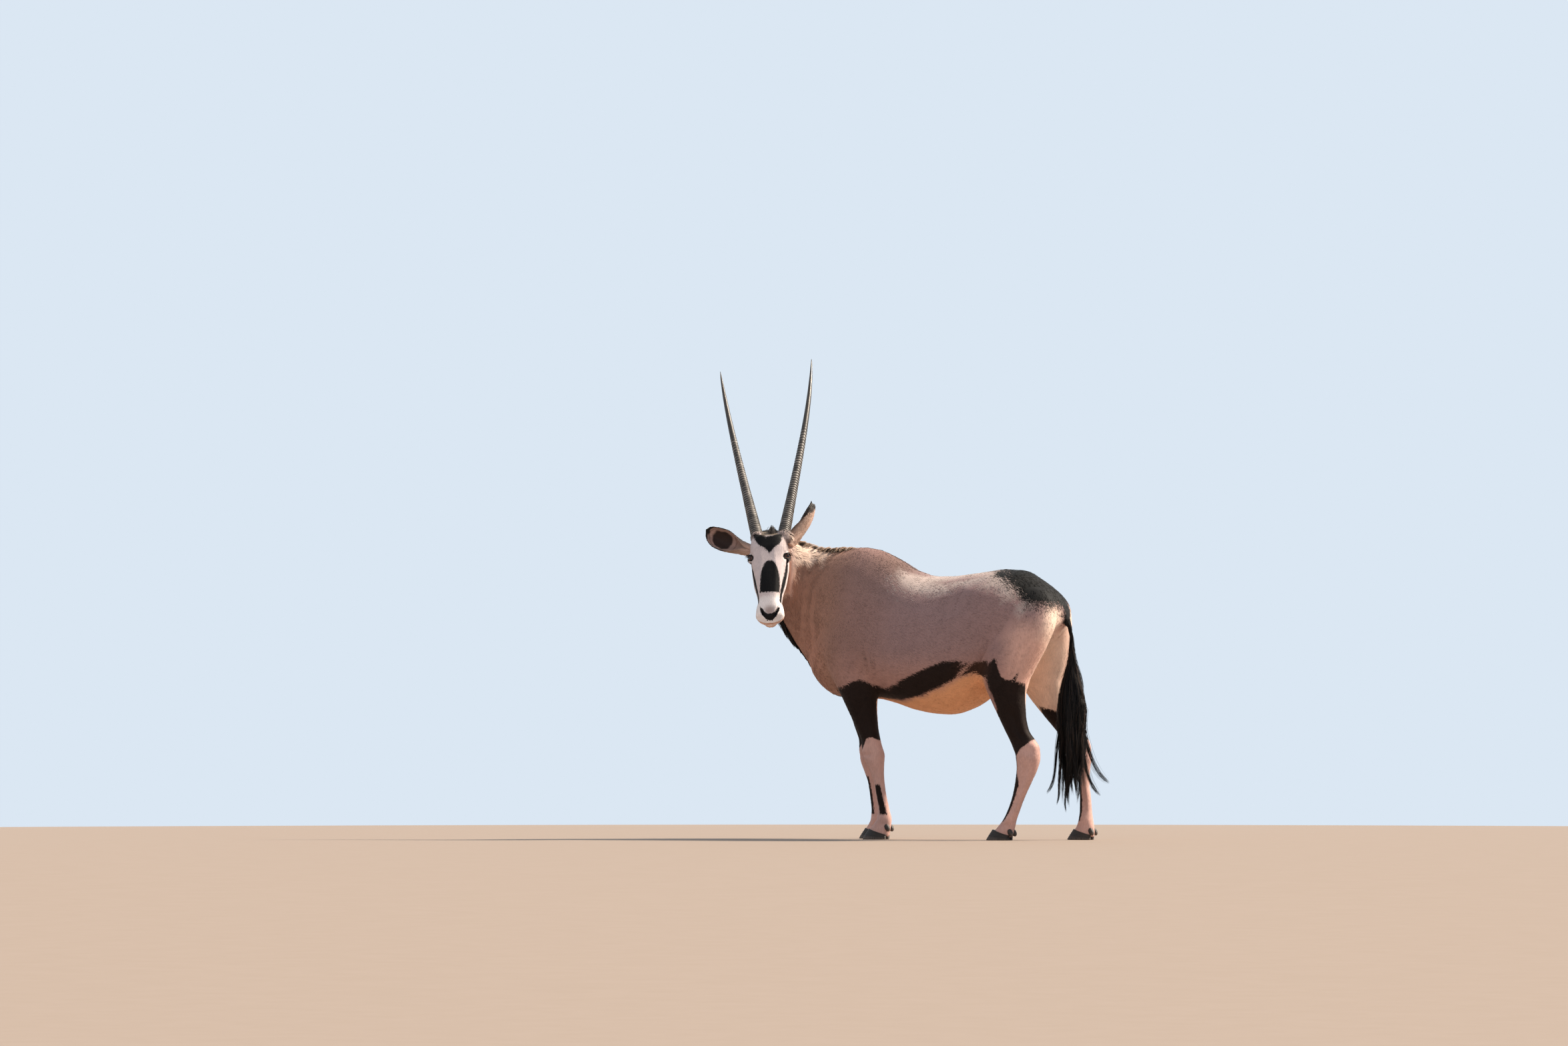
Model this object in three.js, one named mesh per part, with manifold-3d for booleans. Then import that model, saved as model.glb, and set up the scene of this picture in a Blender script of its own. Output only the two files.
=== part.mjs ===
// A gemsbok at life size, as a museum shows one: it stands side on and turns its head over its left
// shoulder to look out. Millimetres, +Z up. The body lies along X with the head end towards -X, and the
// animal's left side faces -Y. The origin is on the floor, under the middle of the whole animal.
import * as THREE from "three";
import { mergeVertices } from "three/addons/utils/BufferGeometryUtils.js";
import Module from "manifold-3d";

const wasm = await Module();
wasm.setup();

// Driving dimensions of the animal, in millimetres.
const WITHERS = 1223; // height of the shoulder hump
const CROUP = 1127; // height of the rump
const LOIN = 1097; // lowest point of the back
const BELLY = 516; // lowest point of the belly
const BRISKET = 590; // chest between the forelegs
const BARREL = 250; // half width of the body at the ribs
const HORN_LENGTH = { left: 925, right: 890 };
const HORN_SPREAD = { left: 116, right: 170 }; // how far each horn's tip stands out from its root
const HORN_SWEEP = 125; // how far each horn's tip lies behind the plane of the face
const HORN_RINGS = 24;
const EAR_LENGTH = { left: 238, right: 226 };
const EYE_RADIUS = 21;
const TAIL_TIP = 112; // height of the longest tail hairs
const GAP = 0.3; // space between one node and the next

// Where the parts are divided.
const ELBOW_CUT = 603;
const THIGH_CUT = 645;

// The trunk, from the chest to the buttocks:
// x, top, bottom, half width, height of the widest place, roundness above it, roundness below it.
const TRUNK = [
  [-560, 905, 716, 46, 800, 2, 2],
  [-545, 990, 680, 84, 810, 2, 2],
  [-500, 1150, 628, 132, 830, 1.9, 2],
  [-430, WITHERS - 20, BRISKET, 166, 830, 1.7, 2],
  [-340, WITHERS, BRISKET - 5, 190, 815, 1.6, 2],
  [-250, WITHERS - 12, BRISKET - 8, 206, 800, 1.65, 2.1],
  [-160, WITHERS - 51, BRISKET - 26, 220, 785, 1.75, 2.2],
  [-70, WITHERS - 102, BELLY + 20, 238, 770, 1.85, 2.2],
  [20, LOIN, BELLY + 4, BARREL - 2, 758, 1.95, 2.2],
  [80, LOIN, BELLY + 1, BARREL, 755, 2, 2.2],
  [160, LOIN + 7, BELLY + 22, BARREL - 4, 765, 2.05, 2.2],
  [245, LOIN + 18, BELLY + 74, 234, 805, 2.1, 2.2],
  [330, CROUP - 2, BELLY + 140, 214, 850, 2.15, 2.2],
  [410, CROUP - 6, BELLY + 205, 192, 880, 2.1, 2.2],
  [475, CROUP - 37, BELLY + 255, 164, 900, 2, 2.2],
  [535, CROUP - 76, BELLY + 305, 130, 920, 2, 2.2],
  [575, CROUP - 112, BELLY + 345, 98, 930, 2.1, 2.3],
  [600, CROUP - 150, BELLY + 378, 62, 935, 2.1, 2.3],
  [612, CROUP - 190, BELLY + 405, 22, 930, 2, 2],
];

// The neck, from inside the chest to inside the head, by the nape and the throat at each station:
// station, nape x, y, z, throat x, y, z, half width, degrees it has turned to the left.
const NECK = [
  [0, -300, 0, 1196, -400, 0, 660, 168, 0],
  [1, -385, 0, WITHERS - 12, -480, 0, 650, 158, 0],
  [2, -465, 0, WITHERS - 20, -551, 0, 712, 138, 2],
  [3, -545, -8, WITHERS - 10, -606, -12, 780, 116, 14],
  [4, -608, -34, WITHERS + 14, -655, -48, 862, 99, 36],
  [5, -654, -76, WITHERS + 36, -688, -84, 952, 86, 64],
  [6, -680, -112, WITHERS + 48, -697, -108, 1052, 72, 90],
];

// The head along its own long axis, from the back of the skull to the lips:
// distance from the poll, top, bottom, height of the widest place, half width, squareness above, below.
const HEAD = [
  [-50, -40, -104, -76, 30, 2, 2],
  [-38, -16, -128, -74, 54, 2.2, 2],
  [-15, 0, -156, -70, 68, 2.6, 2],
  [20, 6, -176, -64, 75, 3, 2],
  [60, 5, -192, -60, 79, 3, 1.9],
  [92, 1, -200, -58, 79, 2.8, 1.8],
  [135, -2, -192, -62, 76, 2.6, 1.8],
  [180, -4, -172, -66, 70, 2.5, 1.9],
  [225, -8, -147, -68, 63, 2.4, 2],
  [265, -13, -128, -68, 55, 2.4, 2.2],
  [298, -18, -118, -68, 51, 2.4, 2.4],
  [328, -24, -114, -69, 58, 2.4, 2.4],
  [356, -33, -111, -72, 61, 2.3, 2.4],
  [376, -45, -106, -75, 53, 2.2, 2.3],
  [388, -58, -99, -77, 37, 2, 2],
  [393, -68, -88, -78, 17, 2, 2],
];

// Both forelegs, from the shoulder blade to below the hoof's edge:
// height, left front, left back, right front, right back, distance of its middle from the midline, half width.
const FORELEG = [
  [0, -266, -152, -394, -284, 118, 32],
  [24, -254, -149, -384, -279, 118, 33],
  [52, -232, -144, -362, -274, 118, 32],
  [84, -208, -141, -346, -274, 118, 30],
  [118, -202, -149, -344, -291, 118, 25],
  [178, -210, -163, -351, -305, 119, 22.5],
  [236, -218, -172, -361, -315, 120, 23.5],
  [284, -236, -175, -379, -317, 121, 29],
  [326, -256, -174, -394, -310, 122, 37],
  [362, -267, -177, -399, -309, 123, 39],
  [405, -272, -188, -402, -318, 124, 37],
  [468, -298, -200, -424, -326, 126, 42],
  [545, -336, -205, -452, -328, 128, 51],
  [608, -368, -202, -478, -322, 130, 59],
  [700, -418, -205, -514, -308, 130, 63],
  [800, -452, -214, -530, -300, 126, 62],
  [900, -458, -226, -516, -290, 114, 57],
  [1000, -440, -244, -476, -284, 95, 49],
  [1090, -408, -268, -424, -290, 68, 38],
  [1150, -376, -296, -384, -304, 42, 24],
];

// Both hind legs, the left one set further forward, by the same columns.
const HIND_LEG = [
  [0, 313, 421, 550, 664, 142, 32],
  [30, 339, 429, 568, 668, 142, 33],
  [55, 359, 436, 588, 666, 142, 32],
  [84, 384, 443, 597, 660, 143, 30],
  [118, 402, 457, 601, 655, 144, 25],
  [175, 424, 481, 601, 650, 145, 22.5],
  [240, 439, 514, 594, 642, 146, 25],
  [305, 447, 544, 582, 645, 147, 32],
  [350, 444, 552, 568, 648, 148, 37],
  [382, 432, 550, 548, 648, 148, 38],
  [412, 418, 532, 528, 640, 148, 36],
  [455, 395, 501, 492, 606, 147, 39],
  [520, 362, 486, 434, 562, 146, 47],
  [590, 326, 482, 376, 536, 143, 59],
  [650, 294, 494, 334, 534, 138, 72],
  [730, 270, 532, 296, 556, 130, 82],
  [820, 276, 578, 288, 572, 120, 86],
  [900, 304, 602, 308, 576, 108, 82],
  [980, 342, 588, 342, 565, 92, 66],
  [1045, 390, 530, 390, 512, 70, 42],
];

// The dock of the tail down its middle: height, x, half depth, half width.
const DOCK = [
  [468, 628, 4, 3],
  [560, 629, 8, 7],
  [700, 628, 11, 10],
  [800, 627, 13, 13],
  [855, 625, 15, 15],
  [915, 611, 17, 17],
  [955, 594, 20, 21],
  [986, 573, 22, 25],
  [1008, 550, 22, 27],
  [1022, 526, 18, 22],
];

// The head looks out of the animal's left side and tips its muzzle down.
const POLL = new THREE.Vector3(-674, -200, 1281);
const HEAD_TURN = THREE.MathUtils.degToRad(110.5);
const HEAD_PITCH = THREE.MathUtils.degToRad(25);
const HEAD_ROLL = THREE.MathUtils.degToRad(3.1);

// The value of a table's column at a place along its first column: a smooth curve that never overshoots.
function along(table, column, place) {
  const last = table.length - 1;
  const at = Math.min(Math.max(place, table[0][0]), table[last][0]);
  const rise = (i) => (table[i + 1][column] - table[i][column]) / (table[i + 1][0] - table[i][0]);
  const slope = (i) => {
    if (i === 0) return rise(0);
    if (i === last) return rise(last - 1);
    const before = rise(i - 1);
    const after = rise(i);
    return before * after <= 0 ? 0 : (2 * before * after) / (before + after);
  };
  let i = 0;
  while (i < last - 1 && at > table[i + 1][0]) i += 1;
  const span = table[i + 1][0] - table[i][0];
  const t = (at - table[i][0]) / span;
  const held = (1 + 2 * t) * (1 - t) ** 2 * table[i][column] + t * t * (3 - 2 * t) * table[i + 1][column];
  return held + span * (t * (1 - t) ** 2 * slope(i) - t * t * (1 - t) * slope(i + 1));
}

// A closed curve round a middle: an ellipse whose upper and lower halves have their own height and squareness.
function ovalRing({ middle, across, up, wide, above, below, squareAbove = 2, squareBelow = 2, sides }) {
  return Array.from({ length: sides }, (_, k) => {
    const angle = (2 * Math.PI * (k + 0.5)) / sides;
    const power = 2 / (Math.sin(angle) >= 0 ? squareAbove : squareBelow);
    const c = Math.sign(Math.cos(angle)) * Math.abs(Math.cos(angle)) ** power;
    const s = Math.sign(Math.sin(angle)) * Math.abs(Math.sin(angle)) ** power;
    return middle
      .clone()
      .addScaledVector(across, wide * c)
      .addScaledVector(up, (s >= 0 ? above : below) * s);
  });
}

// A closed solid through rings of points that all have the same number of points.
function loft(rings) {
  const sides = rings[0].length;
  const points = rings.flat();
  const middleOf = (ring) => ring.reduce((sum, p) => sum.add(p), new THREE.Vector3()).divideScalar(sides);
  points.push(middleOf(rings[0]), middleOf(rings.at(-1)));
  const [firstMiddle, lastMiddle] = [points.length - 2, points.length - 1];
  const faces = [];
  for (let k = 0; k < sides; k += 1) {
    const next = (k + 1) % sides;
    for (let r = 0; r < rings.length - 1; r += 1) {
      const [a, b] = [r * sides + k, r * sides + next];
      faces.push(a, b, b + sides, a, b + sides, a + sides);
    }
    const end = (rings.length - 1) * sides;
    faces.push(firstMiddle, next, k, lastMiddle, end + k, end + next);
  }
  return solidFrom(points.flatMap((p) => p.toArray()), faces);
}

// A solid from positions and faces, turned so that its faces point out.
function solidFrom(positions, faces) {
  const make = (tris) =>
    new wasm.Manifold(
      new wasm.Mesh({
        numProp: 3,
        vertProperties: new Float32Array(positions),
        triVerts: new Uint32Array(tris),
      }),
    );
  const made = make(faces);
  if (made.volume() > 0) return made;
  const turned = [];
  for (let i = 0; i < faces.length; i += 3) turned.push(faces[i], faces[i + 2], faces[i + 1]);
  return make(turned);
}

// A solid from one of three's closed geometries, after a matrix has placed it.
function solidOf(geometry, matrix = new THREE.Matrix4()) {
  const bare = new THREE.BufferGeometry();
  const source = geometry.index ? geometry.toNonIndexed() : geometry;
  bare.setAttribute("position", source.getAttribute("position").clone());
  const merged = mergeVertices(bare.applyMatrix4(matrix), 1e-3);
  return solidFrom(Array.from(merged.attributes.position.array), Array.from(merged.index.array));
}

const union = (solids) => wasm.Manifold.union(solids);

// The largest closed piece of a solid.
function largest(solid) {
  return solid.decompose().reduce((a, b) => (b.volume() > a.volume() ? b : a));
}

// The piece of a divided solid whose box is centred nearest to a point.
function pieceNear(pieces, point) {
  const distance = (piece) => {
    const { min, max } = piece.boundingBox();
    const centre = new THREE.Vector3((min[0] + max[0]) / 2, (min[1] + max[1]) / 2, (min[2] + max[2]) / 2);
    return centre.distanceTo(point);
  };
  return pieces.reduce((a, b) => (distance(b) < distance(a) ? b : a));
}

const steps = (from, to, count) => Array.from({ length: count }, (_, i) => from + ((to - from) * i) / (count - 1));
const X = new THREE.Vector3(1, 0, 0);
const Y = new THREE.Vector3(0, 1, 0);
const Z = new THREE.Vector3(0, 0, 1);

function trunkSolid() {
  const rings = steps(TRUNK[0][0], TRUNK.at(-1)[0], 27).map((x) => {
    const at = (column) => along(TRUNK, column, x);
    return ovalRing({
      middle: new THREE.Vector3(x, 0, at(4)),
      across: Y,
      up: Z,
      wide: at(3),
      above: at(1) - at(4),
      below: at(4) - at(2),
      squareAbove: at(5),
      squareBelow: at(6),
      sides: 22,
    });
  });
  return loft(rings);
}

// The nape or throat of the neck at a station, and the direction across it.
function neckFrame(station) {
  const at = (column) => along(NECK, column, station);
  const turn = THREE.MathUtils.degToRad(at(8));
  return {
    nape: new THREE.Vector3(at(1), at(2), at(3)),
    throat: new THREE.Vector3(at(4), at(5), at(6)),
    across: new THREE.Vector3(Math.sin(turn), -Math.cos(turn), 0),
    wide: at(7),
  };
}

function neckSolid() {
  const rings = steps(0, NECK.length - 1, 13).map((station) => {
    const { nape, throat, across, wide } = neckFrame(station);
    const depth = nape.distanceTo(throat);
    return ovalRing({
      middle: nape.clone().lerp(throat, 0.56),
      across,
      up: nape.clone().sub(throat).normalize(),
      wide,
      above: depth * 0.56,
      below: depth * 0.44,
      squareAbove: 1.8,
      squareBelow: 2.1,
      sides: 18,
    });
  });
  return loft(rings);
}

// The head's own axes: x runs from the poll to the muzzle, y to its left and z out of its forehead.
const headPlace = (() => {
  const heading = new THREE.Vector3(-Math.cos(HEAD_TURN), -Math.sin(HEAD_TURN), 0);
  const left = new THREE.Vector3(-heading.y, heading.x, 0);
  const down = heading.clone().multiplyScalar(Math.sin(HEAD_PITCH)).addScaledVector(Z, -Math.cos(HEAD_PITCH));
  const out = heading.clone().multiplyScalar(Math.cos(HEAD_PITCH)).addScaledVector(Z, Math.sin(HEAD_PITCH));
  const roll = new THREE.Matrix4().makeRotationAxis(heading, HEAD_ROLL);
  return new THREE.Matrix4()
    .makeTranslation(POLL)
    .multiply(roll)
    .multiply(new THREE.Matrix4().makeBasis(down, left, out));
})();
const onHead = (x, y, z) => new THREE.Vector3(x, y, z).applyMatrix4(headPlace);
const headAxes = [0, 1, 2].map((column) => new THREE.Vector3().setFromMatrixColumn(headPlace, column));
const headWay = (x, y, z) => new THREE.Vector3(x, y, z).transformDirection(headPlace);

function headSolid(grow = 0) {
  const [first, last] = [HEAD[0][0], HEAD.at(-1)[0]];
  const rings = steps(first, last, 27).map((x) => {
    const at = (column) => along(HEAD, column, x);
    const stretch = x === first ? -grow : x === last ? grow : 0;
    return ovalRing({
      middle: onHead(x + stretch, 0, at(3)),
      across: headAxes[1],
      up: headAxes[2],
      wide: at(4) + grow,
      above: at(1) - at(3) + grow,
      below: at(3) - at(2) + grow,
      squareAbove: at(5),
      squareBelow: at(6),
      sides: 18,
    });
  });
  return loft(rings);
}

const EYE_MIDDLE = { x: 96, y: 66, z: -50 };
const LID_THICKNESS = 5.5;
const eyePlace = (side) => onHead(EYE_MIDDLE.x, side * EYE_MIDDLE.y, EYE_MIDDLE.z);
// The way an eye looks: between out to its side and forward, and a little towards the muzzle.
const gaze = (side) =>
  headAxes[1]
    .clone()
    .multiplyScalar(side * 0.7)
    .addScaledVector(headAxes[2], 0.65)
    .addScaledVector(headAxes[0], 0.15)
    .normalize();

function ball(radius, middle) {
  return solidOf(new THREE.IcosahedronGeometry(radius, 2), new THREE.Matrix4().makeTranslation(middle));
}

// The opening between the lids: an almond of two arcs, driven out along the gaze.
function lidOpening(side) {
  const [long, high] = [19.5, 12];
  const outline = new THREE.Shape();
  outline.moveTo(-long, 0);
  outline.quadraticCurveTo(0, high * 2, long, 0);
  outline.quadraticCurveTo(0, -high * 1.8, -long, 0);
  const prism = new THREE.ExtrudeGeometry(outline, { depth: 60, bevelEnabled: false, curveSegments: 7 });
  const out = gaze(side);
  const lengthways = headAxes[0].clone().addScaledVector(headAxes[2], -0.35);
  lengthways.addScaledVector(out, -lengthways.dot(out)).normalize();
  const turned = new THREE.Matrix4().makeBasis(lengthways, out.clone().cross(lengthways), out);
  return solidOf(prism, new THREE.Matrix4().makeTranslation(eyePlace(side)).multiply(turned));
}

// A nostril: a curved slit that runs from the side of the muzzle down towards its middle.
function nostril(side) {
  const path = new THREE.QuadraticBezierCurve3(
    onHead(326, side * 42, -29),
    onHead(352, side * 33, -34),
    onHead(374, side * 11, -52),
  );
  const rings = steps(0, 1, 7).map((t) => {
    const girth = Math.sin(Math.PI * (0.08 + 0.84 * t)) ** 0.7;
    const way = path.getTangent(t);
    const across = way.clone().cross(headAxes[2]).normalize();
    return ovalRing({
      middle: path.getPoint(t),
      across,
      up: across.clone().cross(way),
      wide: 4.5 * girth,
      above: 11 * girth,
      below: 11 * girth,
      sides: 8,
    });
  });
  return loft(rings);
}

// The line of the mouth: a slot cut a few millimetres into the lips, from corner to corner.
function mouthLine() {
  const slot = new THREE.BoxGeometry(130, 160, 2.6);
  const place = headPlace
    .clone()
    .multiply(new THREE.Matrix4().makeTranslation(346, 0, -85))
    .multiply(new THREE.Matrix4().makeRotationY(THREE.MathUtils.degToRad(4)));
  return solidOf(slot, place).subtract(headSolid(-4.5));
}

// Flesh round the mouth: the swollen upper lip on each side, and the chin.
function lips() {
  const pads = [-1, 1].map((side) => {
    const place = headPlace
      .clone()
      .multiply(new THREE.Matrix4().makeTranslation(344, side * 33, -68))
      .multiply(new THREE.Matrix4().makeScale(34, 27, 24));
    return solidOf(new THREE.SphereGeometry(1, 12, 8), place);
  });
  const chinPlace = headPlace
    .clone()
    .multiply(new THREE.Matrix4().makeTranslation(350, 0, -95))
    .multiply(new THREE.Matrix4().makeScale(32, 30, 17));
  return [...pads, solidOf(new THREE.SphereGeometry(1, 12, 8), chinPlace)];
}

// A horn in the head's own axes: it leans out and back, straightens towards the tip, and is ringed below.
const HORN_ROOT = { x: 22, left: 59, right: 43, z: -40 };
const HORN_BOW = { left: 0.34, right: 0.1 };
const HORN_SUNK = 0.1; // the share of its length that the hair and skin of the poll may cover
const HORN_GIRTH = [
  [0, 28],
  [0.1, 25],
  [0.3, 19.5],
  [0.5, 15.5],
  [0.7, 11.8],
  [0.85, 8.4],
  [0.95, 4.6],
  [1, 1.2],
];
function hornPoint(side, t) {
  const out = HORN_ROOT[side] + HORN_SPREAD[side] * (t + HORN_BOW[side] * (t - t ** 4));
  return onHead(
    HORN_ROOT.x - (HORN_LENGTH[side] - 22) * t,
    side === "left" ? out : -out,
    HORN_ROOT.z - HORN_SWEEP * (0.72 * t + 0.28 * t * t),
  );
}
function hornRing(side, t, radius) {
  const way = hornPoint(side, t + 0.01).sub(hornPoint(side, t - 0.01)).normalize();
  const across = headAxes[1].clone().addScaledVector(way, -headAxes[1].dot(way)).normalize();
  return ovalRing({
    middle: hornPoint(side, t),
    across,
    up: way.clone().cross(across),
    wide: radius * 0.94,
    above: radius * 1.06,
    below: radius * 1.06,
    sides: 8,
  });
}
function hornSolid(side) {
  const ringed = 0.6;
  const sections = steps(0, HORN_SUNK, 5).map((t) => [t, along(HORN_GIRTH, 1, t)]);
  for (let i = 0; i < HORN_RINGS; i += 1) {
    const low = HORN_SUNK + (ringed - HORN_SUNK) * ((i + 0.3) / HORN_RINGS) ** 1.12;
    const high = HORN_SUNK + (ringed - HORN_SUNK) * ((i + 0.75) / HORN_RINGS) ** 1.12;
    const raised = 1.9 * (1 - 0.65 * (i / HORN_RINGS) ** 2);
    sections.push([low, along(HORN_GIRTH, 1, low) - raised * 0.6], [high, along(HORN_GIRTH, 1, high) + raised]);
  }
  for (const t of steps(ringed + 0.02, 1, 8)) sections.push([t, along(HORN_GIRTH, 1, t)]);
  return loft(sections.map(([t, radius]) => hornRing(side, t, radius)));
}
const hornSocket = (side) =>
  loft([-0.001, ...steps(0, HORN_SUNK, 5)].map((t) => hornRing(side, t, along(HORN_GIRTH, 1, t) + 2 * GAP)));

// An ear: a stalk that opens into a pointed cup. share of its length, half angle of the cup's wall, radius, wall.
const EAR = [
  [0, 179, 22, 19],
  [0.1, 178, 24, 16],
  [0.2, 172, 27, 9],
  [0.3, 150, 31, 5.4],
  [0.45, 114, 39, 4.6],
  [0.6, 96, 46, 4.2],
  [0.75, 86, 48, 3.8],
  [0.87, 76, 41, 3.4],
  [0.95, 66, 27, 3],
  [1, 60, 10, 2.6],
];
// sag is how far the middle of an ear bends to its side, and flat how much one edge is straightened.
const EARS = {
  left: {
    root: onHead(24, 84, -104),
    tip: onHead(-166, 160, -124),
    opening: headWay(-0.4, -0.8, 0.35),
    long: EAR_LENGTH.left,
    sag: 4,
    flat: 0,
    torn: true,
  },
  right: {
    root: onHead(48, -66, -88),
    tip: onHead(-58, -278, -46),
    opening: headWay(0.25, 0, 0.95),
    long: EAR_LENGTH.right,
    sag: -9,
    flat: 0.26,
    torn: false,
  },
};
const EAR_STEPS = steps(0, 1, 11);
function earPlace({ root, tip, opening, long, sag }, t) {
  const way = tip.clone().sub(root).normalize();
  const front = opening.clone().addScaledVector(way, -opening.dot(way)).normalize();
  const side = way.clone().cross(front);
  const bow = 16; // how far the middle of the ear bows away from its opening
  const bend = Math.sin(Math.PI * Math.max(t, 0));
  const [angle, radius, wall] = [1, 2, 3].map((column) => along(EAR, column, t));
  const middle = root
    .clone()
    .addScaledVector(way, long * t)
    .addScaledVector(front, radius * 0.45 - bow * bend)
    .addScaledVector(side, sag * bend);
  return { front, side, middle, radius, wall, spread: THREE.MathUtils.degToRad(angle) };
}

// How far an ear reaches at each place round its cup, from -1 at one edge to 1 at the other, as a share of its
// length. The torn one has a long spike at one edge, a notch beside it and a blunt second tip.
function earEnd({ torn }, round) {
  if (!torn) return 1 - 0.05 * round * round;
  const spike = 0.05 * THREE.MathUtils.smoothstep(-round, 0.8, 1);
  const notch = 0.09 * Math.exp(-(((round + 0.65) / 0.17) ** 2));
  return 0.93 + spike - notch - 0.05 * THREE.MathUtils.smoothstep(round, 0.1, 1);
}
function earSolid(ear) {
  const half = 7;
  const onArc = (share, k, inner) => {
    const round = -1 + (2 * k) / half;
    const t = share * earEnd(ear, round);
    const { front, side, middle, radius, wall, spread } = earPlace(ear, t);
    const straight = THREE.MathUtils.smoothstep(t, 0.55, 0.85) * (1 - THREE.MathUtils.smoothstep(t, 0.9, 1.1));
    const reach = radius * (1 - ear.flat * Math.max(round, 0) * straight) - (inner ? wall : 0);
    return middle
      .clone()
      .addScaledVector(front, -reach * Math.cos(spread * round))
      .addScaledVector(side, reach * Math.sin(spread * round));
  };
  const rings = EAR_STEPS.map((share) => [
    ...Array.from({ length: half + 1 }, (_, k) => onArc(share, k, false)),
    ...Array.from({ length: half + 1 }, (_, k) => onArc(share, half - k, true)),
  ]);
  return loft(rings);
}
// The room that the head and neck leave for the stalk of an ear.
function earSocket(ear) {
  const rings = [-0.004, ...EAR_STEPS.slice(0, 5)].map((t) => {
    const { front, side, middle, radius } = earPlace(ear, t);
    return ovalRing({ middle, across: side, up: front, wide: radius + 1, above: radius + 1, below: radius + 1, sides: 14 });
  });
  return loft(rings);
}

// A leg between two heights, by horizontal sections. side is -1 on the left and 1 on the right.
function legSolid(table, side, from, to, sections, grow = 0) {
  const [frontColumn, backColumn] = side < 0 ? [1, 2] : [3, 4];
  const rings = steps(from, to, sections).map((z) => {
    const [front, back] = [along(table, frontColumn, z), along(table, backColumn, z)];
    return ovalRing({
      middle: new THREE.Vector3((front + back) / 2, side * along(table, 5, z), z),
      across: Y,
      up: X,
      wide: along(table, 6, z) + grow,
      above: (back - front) / 2 + grow,
      below: (back - front) / 2 + grow,
      squareAbove: 2.1,
      squareBelow: 2.3,
      sides: 12,
    });
  });
  return loft(rings);
}

// The four feet: where the toe and the heel of each stand, and how high the hoof's edge is at each end.
const HOOF = { wide: 16, cleft: 1.5, toeEdge: 47, heelEdge: 20 };
const FEET = [
  { name: "foreleg_left", table: FORELEG, side: -1, cut: ELBOW_CUT, toe: -267, heel: -160, dewclaw: 50 },
  { name: "foreleg_right", table: FORELEG, side: 1, cut: ELBOW_CUT, toe: -396, heel: -290, dewclaw: 50 },
  { name: "hindleg_left", table: HIND_LEG, side: -1, cut: THIGH_CUT, toe: 311, heel: 416, dewclaw: 33 },
  { name: "hindleg_right", table: HIND_LEG, side: 1, cut: THIGH_CUT, toe: 550, heel: 656, dewclaw: 35 },
];

// The sloping plane of a hoof's upper edge, as the unit normal and distance that trimByPlane takes.
function hoofEdge({ toe, heel }) {
  const slope = (HOOF.toeEdge - HOOF.heelEdge) / (heel - toe - 24);
  const normal = new THREE.Vector3(slope, 0, 1).normalize();
  const point = new THREE.Vector3(heel, 0, HOOF.heelEdge);
  return { normal: normal.toArray(), distance: normal.dot(point) };
}

// One toe of a hoof, flat below, with a straight inner wall and a pointed front that slopes back as it rises.
function hoofSolid(foot, half) {
  const middle = foot.side * along(foot.table, 5, 0) + half * (HOOF.wide + HOOF.cleft);
  const rings = steps(0, 62, 4).map((z) => {
    const front = foot.toe + 0.74 * z - 2 * Math.sin((Math.PI * z) / 62);
    const back = foot.heel + 0.06 * z;
    const sides = 12;
    return Array.from({ length: sides }, (_, k) => {
      const angle = (2 * Math.PI * (k + 0.5)) / sides;
      const lengthways = (1 - Math.cos(angle)) / 2;
      const taper = 0.5 + 0.5 * Math.min(1, lengthways / 0.55) ** 0.8;
      const outward = Math.sign(Math.sin(angle)) * half > 0;
      const width = HOOF.wide * (outward ? taper - 0.001 * z : 0.94);
      const round = Math.abs(Math.sin(angle)) ** (outward ? 0.8 : 0.5);
      const x = front + (back - front) * lengthways;
      return new THREE.Vector3(x, middle + Math.sign(Math.sin(angle)) * width * round, z);
    });
  });
  const { normal, distance } = hoofEdge(foot);
  return loft(rings).trimByPlane(
    normal.map((n) => -n),
    -(distance - GAP / 2),
  );
}

// A dewclaw: a blunt cone that hangs behind the pastern. half is -1 or 1 for the two of a foot.
function dewclawSolid(foot, half, grow = 0) {
  const height = foot.dewclaw;
  const back = along(foot.table, foot.side < 0 ? 2 : 4, height);
  const middle = foot.side * along(foot.table, 5, height) + half * 18;
  const profile = [
    [0, -19],
    [7, -15],
    [10.5, -5],
    [10, 6],
    [6, 13],
    [0, 16],
  ].map(([radius, y]) => new THREE.Vector2(radius + (radius ? grow : 0), y + Math.sign(y) * grow));
  const place = new THREE.Matrix4()
    .makeTranslation(back - 8, middle, height)
    .multiply(new THREE.Matrix4().makeRotationY(THREE.MathUtils.degToRad(-28)))
    .multiply(new THREE.Matrix4().makeRotationX(Math.PI / 2));
  return solidOf(new THREE.LatheGeometry(profile, 8), place);
}

function legNode(foot) {
  const { normal, distance } = hoofEdge(foot);
  const claws = [-1, 1].map((half) => dewclawSolid(foot, half, GAP));
  return largest(
    legSolid(foot.table, foot.side, 0, foot.cut - GAP / 2, 18)
      .trimByPlane(normal, distance + GAP / 2)
      .subtract(union(claws)),
  );
}

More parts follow.
